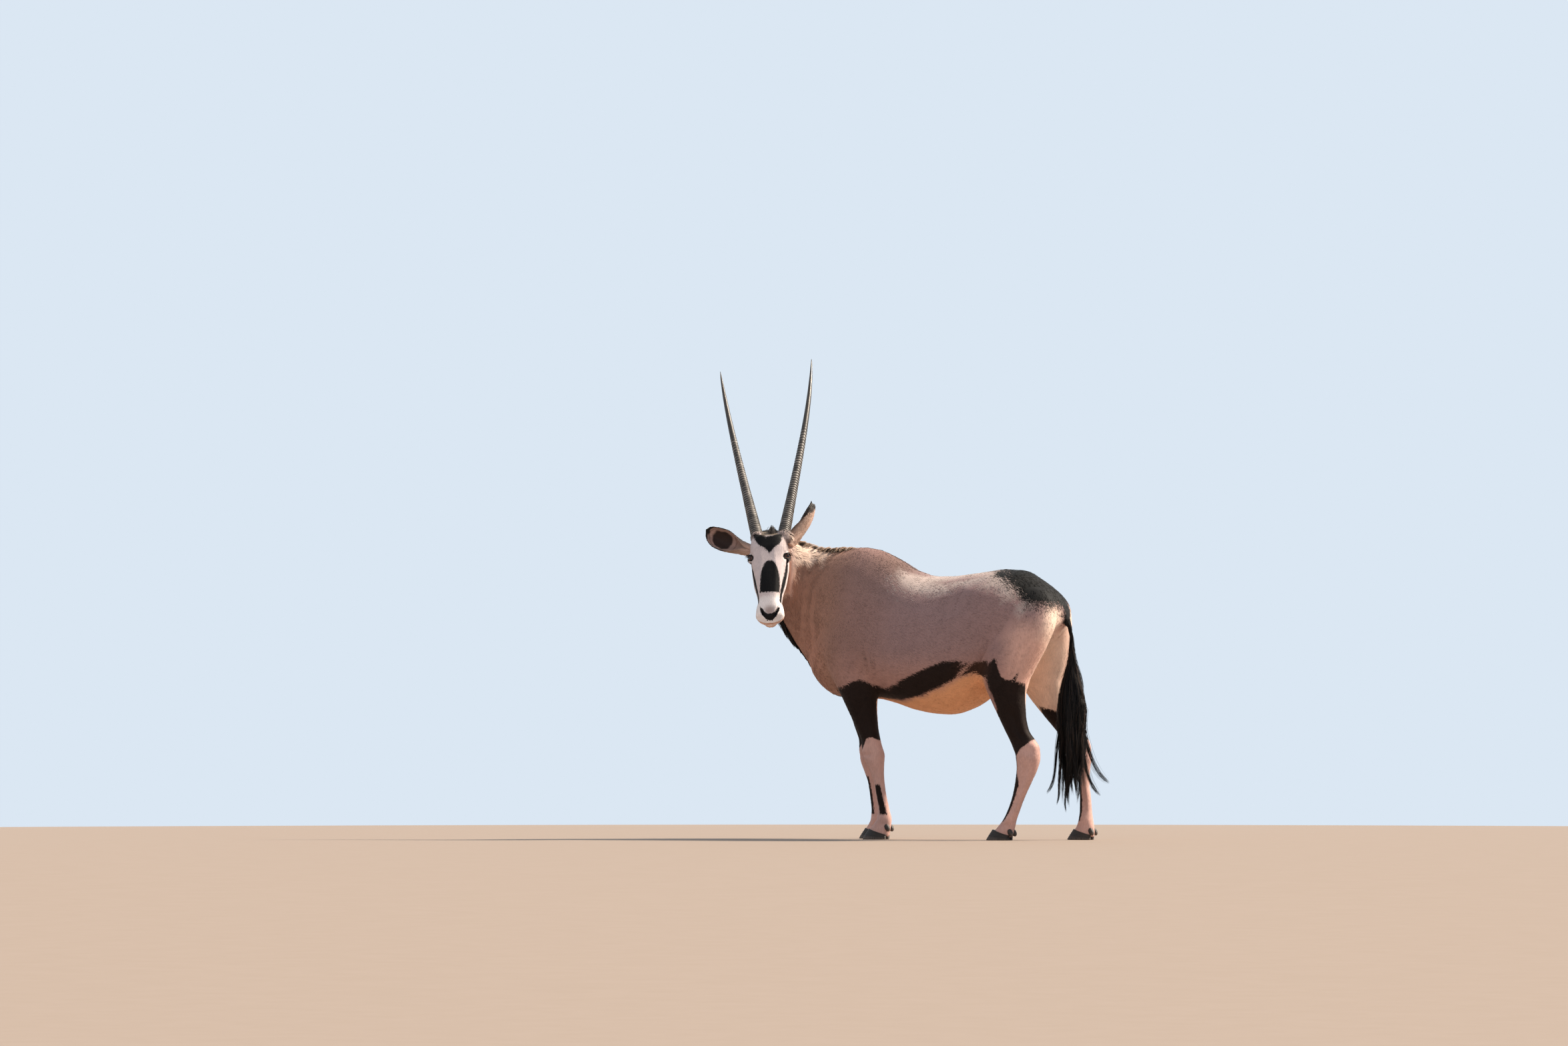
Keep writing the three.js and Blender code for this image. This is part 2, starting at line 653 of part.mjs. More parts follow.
function dockRing(z, grow = 0) {
  const at = (column) => along(DOCK, column, z);
  const way = new THREE.Vector3(at(1) - along(DOCK, 1, z - 4), 0, 4).normalize();
  return ovalRing({
    middle: new THREE.Vector3(at(1), 0, z),
    across: Y,
    up: way.clone().cross(Y),
    wide: at(3) + grow,
    above: at(2) + grow,
    below: at(2) + grow,
    sides: 12,
  });
}
const SWITCH_TOP = 866; // where the dock's short hair gives way to the long hair
const BARE_DOCK = steps(SWITCH_TOP + GAP / 2, DOCK.at(-1)[0], 12);
const dockSolid = (heights) => loft(heights.map((z) => dockRing(z)));
function dockSocket() {
  const rings = BARE_DOCK.map((z) => dockRing(z, GAP));
  rings.push(rings.at(-1).map((point) => point.clone().add(new THREE.Vector3(-0.5, 0, 0.3))));
  return loft(rings);
}

// The same random numbers each time, from 0 to 1.
function seeded(seed) {
  let state = seed;
  return () => {
    state = (state * 16807) % 2147483647;
    return state / 2147483647;
  };
}

// A flat, tapered lock of hair along a path: four-sided, widest a third of the way down, with a fine tip.
function lock(path, normal, wide, thick, sections) {
  const curve = new THREE.CatmullRomCurve3(path);
  const rings = steps(0, 1, sections).map((t) => {
    const girth = 0.16 + 0.84 * Math.sin(Math.PI * Math.min(1, 0.24 + 0.76 * t)) ** 0.8 * (1 - t * t * 0.4);
    const way = curve.getTangent(t);
    const side = way.clone().cross(normal).normalize();
    const face = side.clone().cross(way).normalize();
    const middle = curve.getPoint(t);
    return [
      middle.clone().addScaledVector(side, (wide / 2) * girth),
      middle.clone().addScaledVector(face, (thick / 2) * girth),
      middle.clone().addScaledVector(side, (-wide / 2) * girth),
      middle.clone().addScaledVector(face, (-thick / 2) * girth),
    ];
  });
  return loft(rings);
}

// The switch of the tail: three tiers of locks round the dock, the outer ones first and shortest.
const SWITCH_TIERS = [
  { count: 9, root: 838, tip: 330, out: 62, turn: 0.2 },
  { count: 8, root: 716, tip: 215, out: 46, turn: 0.55 },
  { count: 6, root: 588, tip: 135, out: 28, turn: 0.1 },
];
function tailLocks() {
  const random = seeded(11);
  return SWITCH_TIERS.flatMap(({ count, root: top, tip: end, out: reach, turn: first }) =>
    Array.from({ length: count }, (_, i) => {
      const turn = first + (2 * Math.PI * i) / count;
      const [c, s] = [Math.cos(turn), Math.sin(turn)];
      const root = top + 24 * (random() - 0.5);
      const tip = Math.max(TAIL_TIP + 4, end + 130 * (random() - 0.5));
      const swell = reach * (0.9 + 0.2 * random());
      const at = (fall, out, drift) => {
        const z = root + (tip - root) * fall;
        return new THREE.Vector3(along(DOCK, 1, z) + c * out + drift, s * out * 0.72, z);
      };
      const stray = 10 * (random() - 0.5);
      const path = [at(0, 2, 0), at(0.2, swell * 0.5, 0), at(0.6, swell, 4), at(1, swell * (0.8 + 0.4 * random()), stray)];
      return lock(path, new THREE.Vector3(c, s, 0.05), swell * 0.54 + 2, 14, 5);
    }),
  );
}

// The short mane along the nape: a double row of locks that lean back over one another.
function maneLocks() {
  const random = seeded(5);
  const count = 16;
  return Array.from({ length: count }, (_, i) => {
    const station = 2.35 + 3.3 * (i / (count - 1));
    const { nape, throat, across } = neckFrame(station);
    const back = neckFrame(station - 0.4).nape.sub(nape).normalize();
    const up = nape.clone().sub(throat).normalize();
    const aside = (i % 2 ? 1 : -1) * (4 + 3 * random());
    const long = 58 + 16 * random();
    const at = (along_, high) =>
      nape
        .clone()
        .addScaledVector(across, aside * (1 + along_))
        .addScaledVector(back, long * along_)
        .addScaledVector(up, high);
    const path = [at(0, -14), at(0.35, 1), at(1, 3 + 6 * random())];
    return lock(path, up, 24, 8, 4);
  });
}

// The black fringe that hangs along the throat behind the chin.
function throatLocks() {
  const random = seeded(23);
  const count = 10;
  return Array.from({ length: count }, (_, i) => {
    const station = 3.9 + 1.45 * (i / (count - 1));
    const { nape, throat, across } = neckFrame(station);
    const down = throat.clone().sub(nape).normalize();
    const back = neckFrame(station - 0.4).throat.sub(throat).normalize();
    const aside = (i % 2 ? 1 : -1) * 5;
    const long = 62 + 20 * random();
    const at = (deep, behind) =>
      throat
        .clone()
        .addScaledVector(across, aside)
        .addScaledVector(down, deep)
        .addScaledVector(back, behind);
    return lock([at(-14, 0), at(5, long * 0.45), at(9 + 5 * random(), long)], down, 24, 9, 4);
  });
}

// A thin plate that divides a solid where it crosses it.
function plate(middle, normal, width) {
  const turned = new THREE.Matrix4().makeRotationFromQuaternion(
    new THREE.Quaternion().setFromUnitVectors(Z, normal.clone().normalize()),
  );
  return solidOf(new THREE.BoxGeometry(width, width, GAP), new THREE.Matrix4().makeTranslation(middle).multiply(turned));
}

// The trunk, neck and thighs are modelled whole, and thin cuts divide them.
const NECK_CUT = { middle: new THREE.Vector3(-508, 0, 960), normal: new THREE.Vector3(-0.985, 0, 0.172), width: 720 };

// What the flesh leaves room for: eyes, horns, ears and the dock of the tail.
const sockets = () =>
  union([
    ...[-1, 1].map((side) => ball(EYE_RADIUS + GAP, eyePlace(side))),
    hornSocket("left"),
    hornSocket("right"),
    earSocket(EARS.left),
    earSocket(EARS.right),
    dockSocket(),
  ]);

function headNode() {
  const orbits = [-1, 1].map((side) => ball(EYE_RADIUS + LID_THICKNESS, eyePlace(side)));
  const openings = [mouthLine(), nostril(-1), nostril(1), lidOpening(-1), lidOpening(1)];
  return largest(union([headSolid(), ...orbits, ...lips()]).subtract(union([...openings, sockets()])));
}

function bodyNodes() {
  const uppers = FEET.map(({ table, side, cut }) => legSolid(table, side, cut + GAP / 2, table.at(-1)[0], 11));
  const lowers = FEET.map(({ table, side, cut }) => legSolid(table, side, 20, cut + GAP / 2, 18, GAP));
  const room = union([...lowers, sockets(), headSolid(GAP)]);
  const hair = union([...maneLocks(), ...throatLocks()]);
  const whole = union([trunkSolid(), neckSolid(), hair, ...uppers]).subtract(room);
  const pieces = whole.subtract(plate(NECK_CUT.middle, NECK_CUT.normal, NECK_CUT.width)).decompose();
  return {
    torso: pieceNear(pieces, new THREE.Vector3(60, 0, 870)),
    neck: pieceNear(pieces, new THREE.Vector3(-600, -40, 990)),
  };
}

const COAT = { color: 0xa8927f, roughness: 0.85 };
const FINISHES = {
  coat: new THREE.MeshStandardMaterial(COAT),
  pale: new THREE.MeshStandardMaterial({ color: 0xd9cdc0, roughness: 0.85 }),
  dark: new THREE.MeshStandardMaterial({ color: 0x2b1d17, roughness: 0.8 }),
  hair: new THREE.MeshStandardMaterial({ color: 0x131214, roughness: 0.55 }),
  horn: new THREE.MeshStandardMaterial({ color: 0x3b3733, roughness: 0.5 }),
  hoof: new THREE.MeshStandardMaterial({ color: 0x2a2420, roughness: 0.5 }),
  eye: new THREE.MeshStandardMaterial({ color: 0x1a0f0a, roughness: 0.1 }),
};

const animal = new THREE.Group();
const box = new THREE.Box3();
function add(name, solid, finish) {
  const mesh = solid.getMesh();
  const positions = new Float32Array(mesh.numVert * 3);
  for (let i = 0; i < mesh.numVert; i += 1) {
    positions.set(mesh.vertProperties.subarray(i * mesh.numProp, i * mesh.numProp + 3), i * 3);
  }
  const geometry = new THREE.BufferGeometry();
  geometry.setAttribute("position", new THREE.BufferAttribute(positions, 3));
  geometry.setIndex(new THREE.BufferAttribute(mesh.triVerts, 1));
  geometry.computeVertexNormals();
  geometry.computeBoundingBox();
  box.union(geometry.boundingBox);
  const part = new THREE.Mesh(geometry, FINISHES[finish]);
  part.name = name;
  animal.add(part);
}

const { torso, neck } = bodyNodes();
add("torso", torso, "coat");
add("neck", neck, "coat");
add("head", headNode(), "pale");
for (const [side, sign] of [["left", 1], ["right", -1]]) {
  add(`eye_${side}`, ball(EYE_RADIUS, eyePlace(sign)), "eye");
  add(`horn_${side}`, hornSolid(side), "horn");
  add(`ear_${side}`, earSolid(EARS[side]), "pale");
}
for (const foot of FEET) {
  add(foot.name, legNode(foot), "dark");
  for (const [half, place] of [[foot.side, "outer"], [-foot.side, "inner"]]) {
    add(`hoof_${foot.name}_${place}`, hoofSolid(foot, half), "hoof");
    add(`dewclaw_${foot.name}_${place}`, dewclawSolid(foot, half), "hoof");
  }
}
add("tail_dock", dockSolid(BARE_DOCK), "dark");
const switchSolids = union([dockSolid(steps(DOCK[0][0], SWITCH_TOP - GAP / 2, 7)), ...tailLocks()]);
add("tail_switch", largest(switchSolids.trimByPlane([0, 0, -1], -(SWITCH_TOP - GAP / 2))), "hair");

const middle = box.getCenter(new THREE.Vector3());
animal.position.set(-middle.x, -middle.y, 0);

export default animal;
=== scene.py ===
# %% [markdown]
# # A gemsbok, life size, as a museum shows one
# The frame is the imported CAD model: it fixes the pose and the size of everything. This script gives
# it a skin without seams, a coat, real horns, hooves, eyes and ears. Every length in the tables is in
# millimetres, and one function turns them to the metres of the scene.

import math

import bpy
import numpy as np
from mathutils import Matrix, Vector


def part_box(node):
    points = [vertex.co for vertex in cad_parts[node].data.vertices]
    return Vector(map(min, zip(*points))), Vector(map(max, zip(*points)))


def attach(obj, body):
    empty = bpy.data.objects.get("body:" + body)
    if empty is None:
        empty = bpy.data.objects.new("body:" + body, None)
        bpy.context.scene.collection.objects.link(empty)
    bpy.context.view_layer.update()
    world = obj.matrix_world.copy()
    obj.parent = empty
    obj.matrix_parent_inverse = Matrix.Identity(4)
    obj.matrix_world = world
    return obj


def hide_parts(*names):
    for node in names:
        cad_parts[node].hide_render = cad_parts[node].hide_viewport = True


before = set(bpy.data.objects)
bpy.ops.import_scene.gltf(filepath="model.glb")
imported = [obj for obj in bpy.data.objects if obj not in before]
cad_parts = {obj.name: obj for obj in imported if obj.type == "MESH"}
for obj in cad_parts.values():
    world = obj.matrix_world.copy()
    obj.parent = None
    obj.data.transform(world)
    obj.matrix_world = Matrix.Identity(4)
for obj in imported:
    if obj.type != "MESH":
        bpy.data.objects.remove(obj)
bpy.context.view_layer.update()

# %% [markdown]
# ## Smooth tables
# An animal has no flat faces and no circles, so its body is described by tables: at each height or
# length, how high, how wide and how square the section is. A cubic that never overshoots its points
# gives every value in between, so a dozen rows are enough for a whole leg.

# %% Curves and rings
def along(table, column, place):
    """The value of a table's column at places along its first column, by a monotone cubic."""
    table = np.asarray(table, float)
    x, y = table[:, 0], table[:, column]
    place = np.clip(place, x[0], x[-1])
    rise = np.diff(y) / np.diff(x)
    slope = np.empty_like(y)
    slope[0], slope[-1] = rise[0], rise[-1]
    before, after = rise[:-1], rise[1:]
    same_way = before * after > 0
    slope[1:-1] = np.where(same_way, 2 * before * after / np.where(same_way, before + after, 1), 0)
    i = np.clip(np.searchsorted(x, place, side="right") - 1, 0, len(x) - 2)
    span = x[i + 1] - x[i]
    t = (place - x[i]) / span
    held = (1 + 2 * t) * (1 - t) ** 2 * y[i] + t * t * (3 - 2 * t) * y[i + 1]
    return held + span * (t * (1 - t) ** 2 * slope[i] - t * t * (1 - t) * slope[i + 1])


def column(values):
    """Values as one column, so that they spread over the points of each ring."""
    return np.reshape(np.asarray(values, float), (-1, 1))


def rings_of(middle, across, up, wide, above, below, square_above, square_below, sides):
    """Ovals round a line of middles. A point at angle a lies at wide * cos(a)^p across and at
    above or below * sin(a)^p up, where p is 2 over the squareness of that half."""
    angle = 2 * np.pi * (np.arange(sides) + 0.5) / sides
    c, s = np.cos(angle), np.sin(angle)
    power = 2 / np.where(s >= 0, column(square_above), column(square_below))
    c = np.sign(c) * np.abs(c) ** power
    s = np.sign(s) * np.abs(s) ** power
    tall = np.where(s >= 0, column(above), column(below)) * s
    return middle[:, None] + across[:, None] * (column(wide) * c)[..., None] + up[:, None] * tall[..., None]


def tube(rings):
    """Points and triangles of a closed skin through rings, with one pole point at each end."""
    rows, sides = rings.shape[:2]
    points = np.concatenate([rings.reshape(-1, 3), [rings[0].mean(0)], [rings[-1].mean(0)]])
    k = np.arange(sides)
    r = np.arange(rows - 1)[:, None] * sides
    a, b = r + k, r + (k + 1) % sides
    walls = np.stack([a, b, b + sides, a, b + sides, a + sides], -1).reshape(-1, 3)
    first, last = np.full(sides, rows * sides), np.full(sides, rows * sides + 1)
    end = (rows - 1) * sides
    caps = np.concatenate([np.stack([first, (k + 1) % sides, k], -1), np.stack([last, end + k, end + (k + 1) % sides], -1)])
    return points, outward(points, np.concatenate([walls, caps]))


def outward(points, faces):
    """The same faces, turned over when the volume that they enclose comes out negative."""
    a, b, c = points[faces].transpose(1, 0, 2)
    volume = np.einsum("ij,ij->i", a, np.cross(b, c)).sum()
    return faces if volume > 0 else faces[:, ::-1]


def unit(vectors):
    """Vectors of length one."""
    return vectors / np.maximum(np.linalg.norm(vectors, axis=-1, keepdims=True), 1e-9)


def step(low, high, value):
    """0 below low, 1 above high and a smooth S between them. low may be above high."""
    t = np.clip((value - low) / (high - low), 0, 1)
    return t * t * (3 - 2 * t)


# %% [markdown]
# ## The body's tables
# These are the driving sizes of the solids. They are repeated here because the skin is drawn again
# from them, finer, and a few millimetres further in, where the coat grows from.

# %% Trunk, neck and head
# x, top, bottom, half width, height of the widest place, roundness above it, roundness below it
TRUNK = np.array([
    [-560, 905, 716, 46, 800, 2, 2], [-545, 990, 680, 84, 810, 2, 2], [-500, 1150, 628, 132, 830, 1.9, 2],
    [-430, 1203, 590, 166, 830, 1.7, 2], [-340, 1223, 585, 190, 815, 1.6, 2], [-250, 1211, 582, 206, 800, 1.65, 2.1],
    [-160, 1172, 564, 220, 785, 1.75, 2.2], [-70, 1121, 536, 238, 770, 1.85, 2.2], [20, 1097, 520, 248, 758, 1.95, 2.2],
    [80, 1097, 517, 250, 755, 2, 2.2], [160, 1104, 538, 246, 765, 2.05, 2.2], [245, 1115, 590, 234, 805, 2.1, 2.2],
    [330, 1125, 656, 214, 850, 2.15, 2.2], [410, 1121, 721, 192, 880, 2.1, 2.2], [475, 1090, 771, 164, 900, 2, 2.2],
    [535, 1051, 821, 130, 920, 2, 2.2], [575, 1015, 861, 98, 930, 2.1, 2.3], [600, 977, 894, 62, 935, 2.1, 2.3],
    [612, 937, 921, 22, 930, 2, 2],
], float)
# station, nape x, y, z, throat x, y, z, half width, degrees turned to the left
NECK = np.array([
    [0, -300, 0, 1196, -400, 0, 660, 168, 0], [1, -385, 0, 1211, -480, 0, 650, 158, 0],
    [2, -465, 0, 1203, -551, 0, 712, 138, 2], [3, -545, -8, 1213, -606, -12, 780, 116, 14],
    [4, -608, -34, 1237, -655, -48, 862, 99, 36], [5, -654, -76, 1259, -688, -84, 952, 86, 64],
    [6, -680, -112, 1271, -697, -108, 1052, 72, 90],
], float)
# distance from the poll, top, bottom, height of the widest place, half width, squareness above, below
HEAD = np.array([
    [-50, -76, -118, -96, 26, 2, 2], [-38, -62, -136, -92, 50, 2.2, 2], [-15, -34, -158, -82, 67, 2.6, 2],
    [20, 5, -176, -64, 75, 3, 2], [60, 5, -192, -60, 79, 3, 1.9], [92, 1, -200, -58, 79, 2.8, 1.8],
    [135, -2, -192, -62, 76, 2.6, 1.8], [180, -4, -172, -66, 70, 2.5, 1.9], [225, -8, -147, -68, 63, 2.4, 2],
    [265, -13, -128, -68, 55, 2.4, 2.2], [298, -18, -118, -68, 51, 2.4, 2.4], [328, -24, -114, -69, 58, 2.4, 2.4],
    [356, -33, -111, -72, 61, 2.3, 2.4], [376, -45, -106, -75, 47, 2.1, 2.1], [388, -58, -99, -77, 29, 2, 2],
    [393, -68, -88, -78, 17, 2, 2],
], float)

# %% Legs and tail
# height, left front, left back, right front, right back, distance from the midline, half width
FORELEG = np.array([
    [0, -266, -152, -394, -284, 118, 32], [24, -254, -149, -384, -279, 118, 33], [52, -232, -144, -362, -274, 118, 32],
    [84, -208, -141, -346, -274, 118, 30], [118, -202, -149, -344, -291, 118, 25], [178, -210, -163, -351, -305, 119, 22.5],
    [236, -218, -172, -361, -315, 120, 23.5], [284, -236, -175, -379, -317, 121, 29], [326, -256, -174, -394, -310, 122, 37],
    [362, -267, -177, -399, -309, 123, 39], [405, -272, -188, -402, -318, 124, 37], [468, -298, -200, -424, -326, 126, 42],
    [545, -336, -205, -452, -328, 128, 51], [608, -368, -202, -478, -322, 130, 59], [700, -418, -205, -514, -308, 130, 63],
    [800, -452, -214, -530, -300, 126, 62], [900, -458, -226, -516, -290, 114, 57], [1000, -440, -244, -476, -284, 95, 49],
    [1090, -408, -268, -424, -290, 68, 38], [1150, -376, -296, -384, -304, 42, 24],
], float)
HIND_LEG = np.array([
    [0, 313, 421, 550, 664, 142, 32], [30, 339, 429, 568, 668, 142, 33], [55, 359, 436, 588, 666, 142, 32],
    [84, 384, 443, 597, 660, 143, 30], [118, 402, 457, 601, 655, 144, 25], [175, 424, 481, 601, 650, 145, 22.5],
    [240, 439, 514, 594, 642, 146, 25], [305, 447, 544, 582, 645, 147, 32], [350, 444, 552, 568, 648, 148, 37],
    [382, 432, 550, 548, 648, 148, 38], [412, 418, 532, 528, 640, 148, 36], [455, 395, 501, 492, 606, 147, 39],
    [520, 362, 486, 434, 562, 146, 47], [590, 326, 482, 376, 536, 143, 59], [650, 294, 494, 334, 534, 138, 72],
    [730, 270, 532, 296, 556, 130, 82], [820, 276, 578, 288, 572, 120, 86], [900, 304, 602, 308, 576, 108, 82],
    [980, 342, 588, 342, 565, 92, 66], [1045, 390, 530, 390, 512, 70, 42],
], float)
# height, x, half depth, half width
DOCK = np.array([
    [468, 628, 4, 3], [560, 629, 8, 7], [700, 628, 11, 10], [800, 627, 13, 13], [855, 625, 15, 15], [915, 611, 17, 17],
    [955, 594, 20, 21], [986, 573, 22, 25], [1008, 550, 22, 27], [1022, 526, 18, 22],
], float)
# name, table, side, height where the solids divide, toe, heel, height of the dewclaws
FEET = [
    ("foreleg_left", FORELEG, -1, 603, -267, -160, 50),
    ("foreleg_right", FORELEG, 1, 603, -396, -290, 50),
    ("hindleg_left", HIND_LEG, -1, 645, 311, 416, 33),
    ("hindleg_right", HIND_LEG, 1, 645, 550, 656, 35),
]

# %% [markdown]
# ## Where the head is
# The head turns over the left shoulder, tips its muzzle down and leans a little. It has axes of its
# own: x from the poll to the muzzle, y to its left, z out of the forehead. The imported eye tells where
# the whole animal was put, so no number is needed for that.

# %% The head's axes
POLL = np.array([-674.0, -200.0, 1281.0])
TURN, PITCH, ROLL = np.radians([110.5, 25.0, 3.1])


def turned(vector, axis, angle):
    """A vector turned about an axis: the part along it stays, and the rest goes round it."""
    return (
        vector * np.cos(angle)
        + np.cross(axis, vector) * np.sin(angle)
        + axis * (vector @ axis) * (1 - np.cos(angle))
    )


heading = np.array([-np.cos(TURN), -np.sin(TURN), 0.0])
to_left = np.array([-heading[1], heading[0], 0.0])
muzzle_way = heading * np.sin(PITCH) - np.array([0, 0, np.cos(PITCH)])
brow_way = heading * np.cos(PITCH) + np.array([0, 0, np.sin(PITCH)])
HEAD_AXES = np.array([turned(v, heading, ROLL) for v in (muzzle_way, to_left, brow_way)])


def on_head(points):
    """Points given in the head's axes, in the body's."""
    return POLL + np.asarray(points, float) @ HEAD_AXES


def in_head(points):
    """Points of the body in the head's axes."""
    return (points - POLL) @ HEAD_AXES.T


EYE = np.array([96.0, 66.0, -50.0])
EYE_RADIUS = 21.0
eye_low, eye_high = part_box("eye_left")
PLACE = np.array((eye_low + eye_high) / 2) - on_head(EYE) / 1000


def scene_points(points):
    """Points in the body's millimetres as metres in the frame."""
    return points / 1000 + PLACE


print("the body's own origin lies at", PLACE.round(4))

# %% [markdown]
# ## Meshes from arrays
# Everything below is made by numpy and handed to Blender in one go. A coat has a hundred thousand
# tufts, and only whole arrays make that quick.

# %% Mesh helpers
def make_mesh(name, points, faces):
    """A smooth mesh in the frame from body points and faces of equal size."""
    mesh = bpy.data.meshes.new(name)
    corners = faces.shape[1]
    mesh.vertices.add(len(points))
    mesh.vertices.foreach_set("co", scene_points(points).astype(np.float32).ravel())
    mesh.loops.add(faces.size)
    mesh.loops.foreach_set("vertex_index", faces.astype(np.int32).ravel())
    mesh.polygons.add(len(faces))
    mesh.polygons.foreach_set("loop_start", np.arange(0, faces.size, corners, dtype=np.int32))
    mesh.update(calc_edges=True)
    mesh.shade_smooth()
    return mesh


def make_piece(name, points, faces):
    """An object that holds such a mesh, in the scene."""
    piece = bpy.data.objects.new(name, make_mesh(name, points, faces))
    bpy.context.scene.collection.objects.link(piece)
    return piece


def body_points(mesh):
    """A mesh's points in the body's millimetres."""
    flat = np.empty(len(mesh.vertices) * 3, np.float32)
    mesh.vertices.foreach_get("co", flat)
    return (flat.reshape(-1, 3).astype(float) - PLACE) * 1000


def set_points(mesh, points):
    """Puts body points into a mesh."""
    mesh.vertices.foreach_set("co", scene_points(points).astype(np.float32).ravel())
    mesh.update()


def indices(collection, key, width):
    """Whole numbers of a mesh's edges or loops as an array."""
    flat = np.empty(len(collection) * width, np.int32)
    collection.foreach_get(key, flat)
    return flat.reshape(-1, width)


def triangles_of(mesh):
    """A mesh's triangles as an array of vertex numbers."""
    mesh.calc_loop_triangles()
    return indices(mesh.loop_triangles, "vertices", 3)


def normals_of(points, triangles):
    """The way out at each vertex: the sum of its triangles' cross products, made one long."""
    a, b, c = points[triangles].transpose(1, 0, 2)
    face = np.cross(b - a, c - a)
    total = np.stack([sum(np.bincount(triangles[:, k], face[:, axis], len(points)) for k in range(3)) for axis in range(3)], 1)
    return unit(total)


def relax(points, edges, weight, rounds):
    """Each round moves every point part of the way to the mean of its neighbours."""
    count = np.maximum(np.bincount(edges.ravel(), minlength=len(points)), 1)[:, None]
    one, other = edges.T
    for _ in range(rounds):
        total = np.stack([
            np.bincount(one, points[other, axis], len(points)) + np.bincount(other, points[one, axis], len(points))
            for axis in range(3)
        ], 1)
        points = points + column(weight) * (total / count - points)
    return points


def remeshed(name, parts, voxel):
    """One skin of even quads round overlapping closed parts, by Blender's voxel remesh."""
    offsets = np.cumsum([0] + [len(points) for points, _ in parts[:-1]])
    points = np.concatenate([points for points, _ in parts])
    faces = np.concatenate([faces + offset for (_, faces), offset in zip(parts, offsets)])
    piece = make_piece(name, points, faces)
    remesh = piece.modifiers.new("one skin", "REMESH")
    remesh.mode = "VOXEL"
    remesh.voxel_size = voxel / 1000
    made = bpy.data.meshes.new_from_object(piece.evaluated_get(bpy.context.evaluated_depsgraph_get()))
    bpy.data.objects.remove(piece)
    return made


# %% [markdown]
# ## The flesh
# The trunk, the neck, four legs and the dock of the tail are tubes that run into one another. A voxel
# remesh melts them into one skin, and rounds of smoothing where they meet give the soft folds that a
# real animal has at its shoulder and flank. The head is added in a second, finer remesh.

# %% Coarse body
COAT = {"trunk": 3.0, "neck": 4.0, "head": 1.2, "leg": 1.5, "dock": 4.0}


def trunk_tube(depth):
    """The trunk: ovals in upright planes along x."""
    x = np.linspace(TRUNK[0, 0] + depth, TRUNK[-1, 0] - depth, 150)
    at = [along(TRUNK, k, x) for k in range(7)]
    middle = np.stack([x, 0 * x, at[4]], 1)
    across, up = np.tile([0.0, 1, 0], (len(x), 1)), np.tile([0.0, 0, 1], (len(x), 1))
    above, below, wide = at[1] - at[4] - depth, at[4] - at[2] - depth, at[3] - depth
    return tube(rings_of(middle, across, up, wide, above, below, at[5], at[6], 110))


def neck_frame(station):
    """Nape, throat, the way across and the half width of the neck at stations."""
    at = [along(NECK, k, station) for k in range(9)]
    turn = np.radians(at[8])
    across = np.stack([np.sin(turn), -np.cos(turn), 0 * turn], -1)
    return np.stack(at[1:4], -1), np.stack(at[4:7], -1), across, at[7]


def neck_tube(depth):
    """The neck: ovals from nape to throat, each in a plane that has turned a little further."""
    nape, throat, across, wide = neck_frame(np.linspace(0, 6, 80))
    up = unit(nape - throat)
    tall = np.linalg.norm(nape - throat, axis=1) - 2 * depth
    middle = throat + up * column(depth + 0.44 * tall)
    return tube(rings_of(middle, across, up, wide - depth, 0.56 * tall, 0.44 * tall, 1.8, 2.1, 90))


def leg_tube(foot, depth):
    """A leg: level ovals between its front and back lines, which narrow where the hoof takes over."""
    name, table, side, cut, toe, heel, dewclaw = foot
    z = np.linspace(10, table[-1, 0] - depth, 170)
    front, back = (along(table, k, z) for k in ((1, 2) if side < 0 else (3, 4)))
    half = (back - front) / 2 - depth
    middle = np.stack([(front + back) / 2, side * along(table, 5, z), z], 1)
    across, up = np.tile([0.0, 1, 0], (len(z), 1)), np.tile([1.0, 0, 0], (len(z), 1))
    rings = rings_of(middle, across, up, along(table, 6, z) - depth, half, half, 2.1, 2.3, 60)
    hoof_edge = 20 + 27 * (heel - rings[..., 0]) / (heel - toe - 24)
    rings[..., 2] = np.maximum(rings[..., 2], hoof_edge - 7)
    return tube(rings)


def dock_tube(depth):
    """The fleshy root of the tail, down to where only hair goes on."""
    z = np.linspace(838, 1022, 40)
    x = along(DOCK, 1, z)
    middle = np.stack([x, 0 * x, z], 1)
    way = unit(np.gradient(middle, axis=0))
    across = np.tile([0.0, 1, 0], (len(z), 1))
    thick = np.maximum(along(DOCK, 2, z) - depth, 4)
    return tube(rings_of(middle, across, np.cross(way, across), np.maximum(along(DOCK, 3, z) - depth, 4), thick, thick, 2, 2, 24))


flesh = [trunk_tube(COAT["trunk"]), neck_tube(COAT["neck"]), dock_tube(COAT["dock"])]
flesh += [leg_tube(foot, COAT["leg"]) for foot in FEET]
coarse = remeshed("coarse", flesh, 6.5)
points = body_points(coarse)
edges = indices(coarse.edges, "vertices", 2)


def near(points, middle, reach):
    """1 at a place, falling to 0 about two reaches away. reach may differ by axis."""
    return np.exp(-(((points - middle) / reach) ** 2).sum(-1))


def mirrored(points):
    """Points folded onto the right side, for forms that both sides share."""
    return points * [1, 0, 1] + np.abs(points) * [0, 1, 0]


folded = mirrored(points)
soft = 0.12 + 0.88 * np.maximum.reduce([
    near(folded, [-450, 130, 900], [110, 110, 260]),
    near(folded, [-240, 150, 640], [120, 90, 70]),
    near(folded, [-420, 60, 1180], [130, 90, 60]),
    near(folded, [300, 150, 700], [90, 100, 80]),
    near(folded, [440, 120, 900], [130, 90, 150]),
    near(points, [560, 0, 990], [60, 60, 60]),
])
points = relax(points, edges, soft * step(420, 640, points[:, 2]), 26)
set_points(coarse, points)
print("coarse body", len(points), "points")

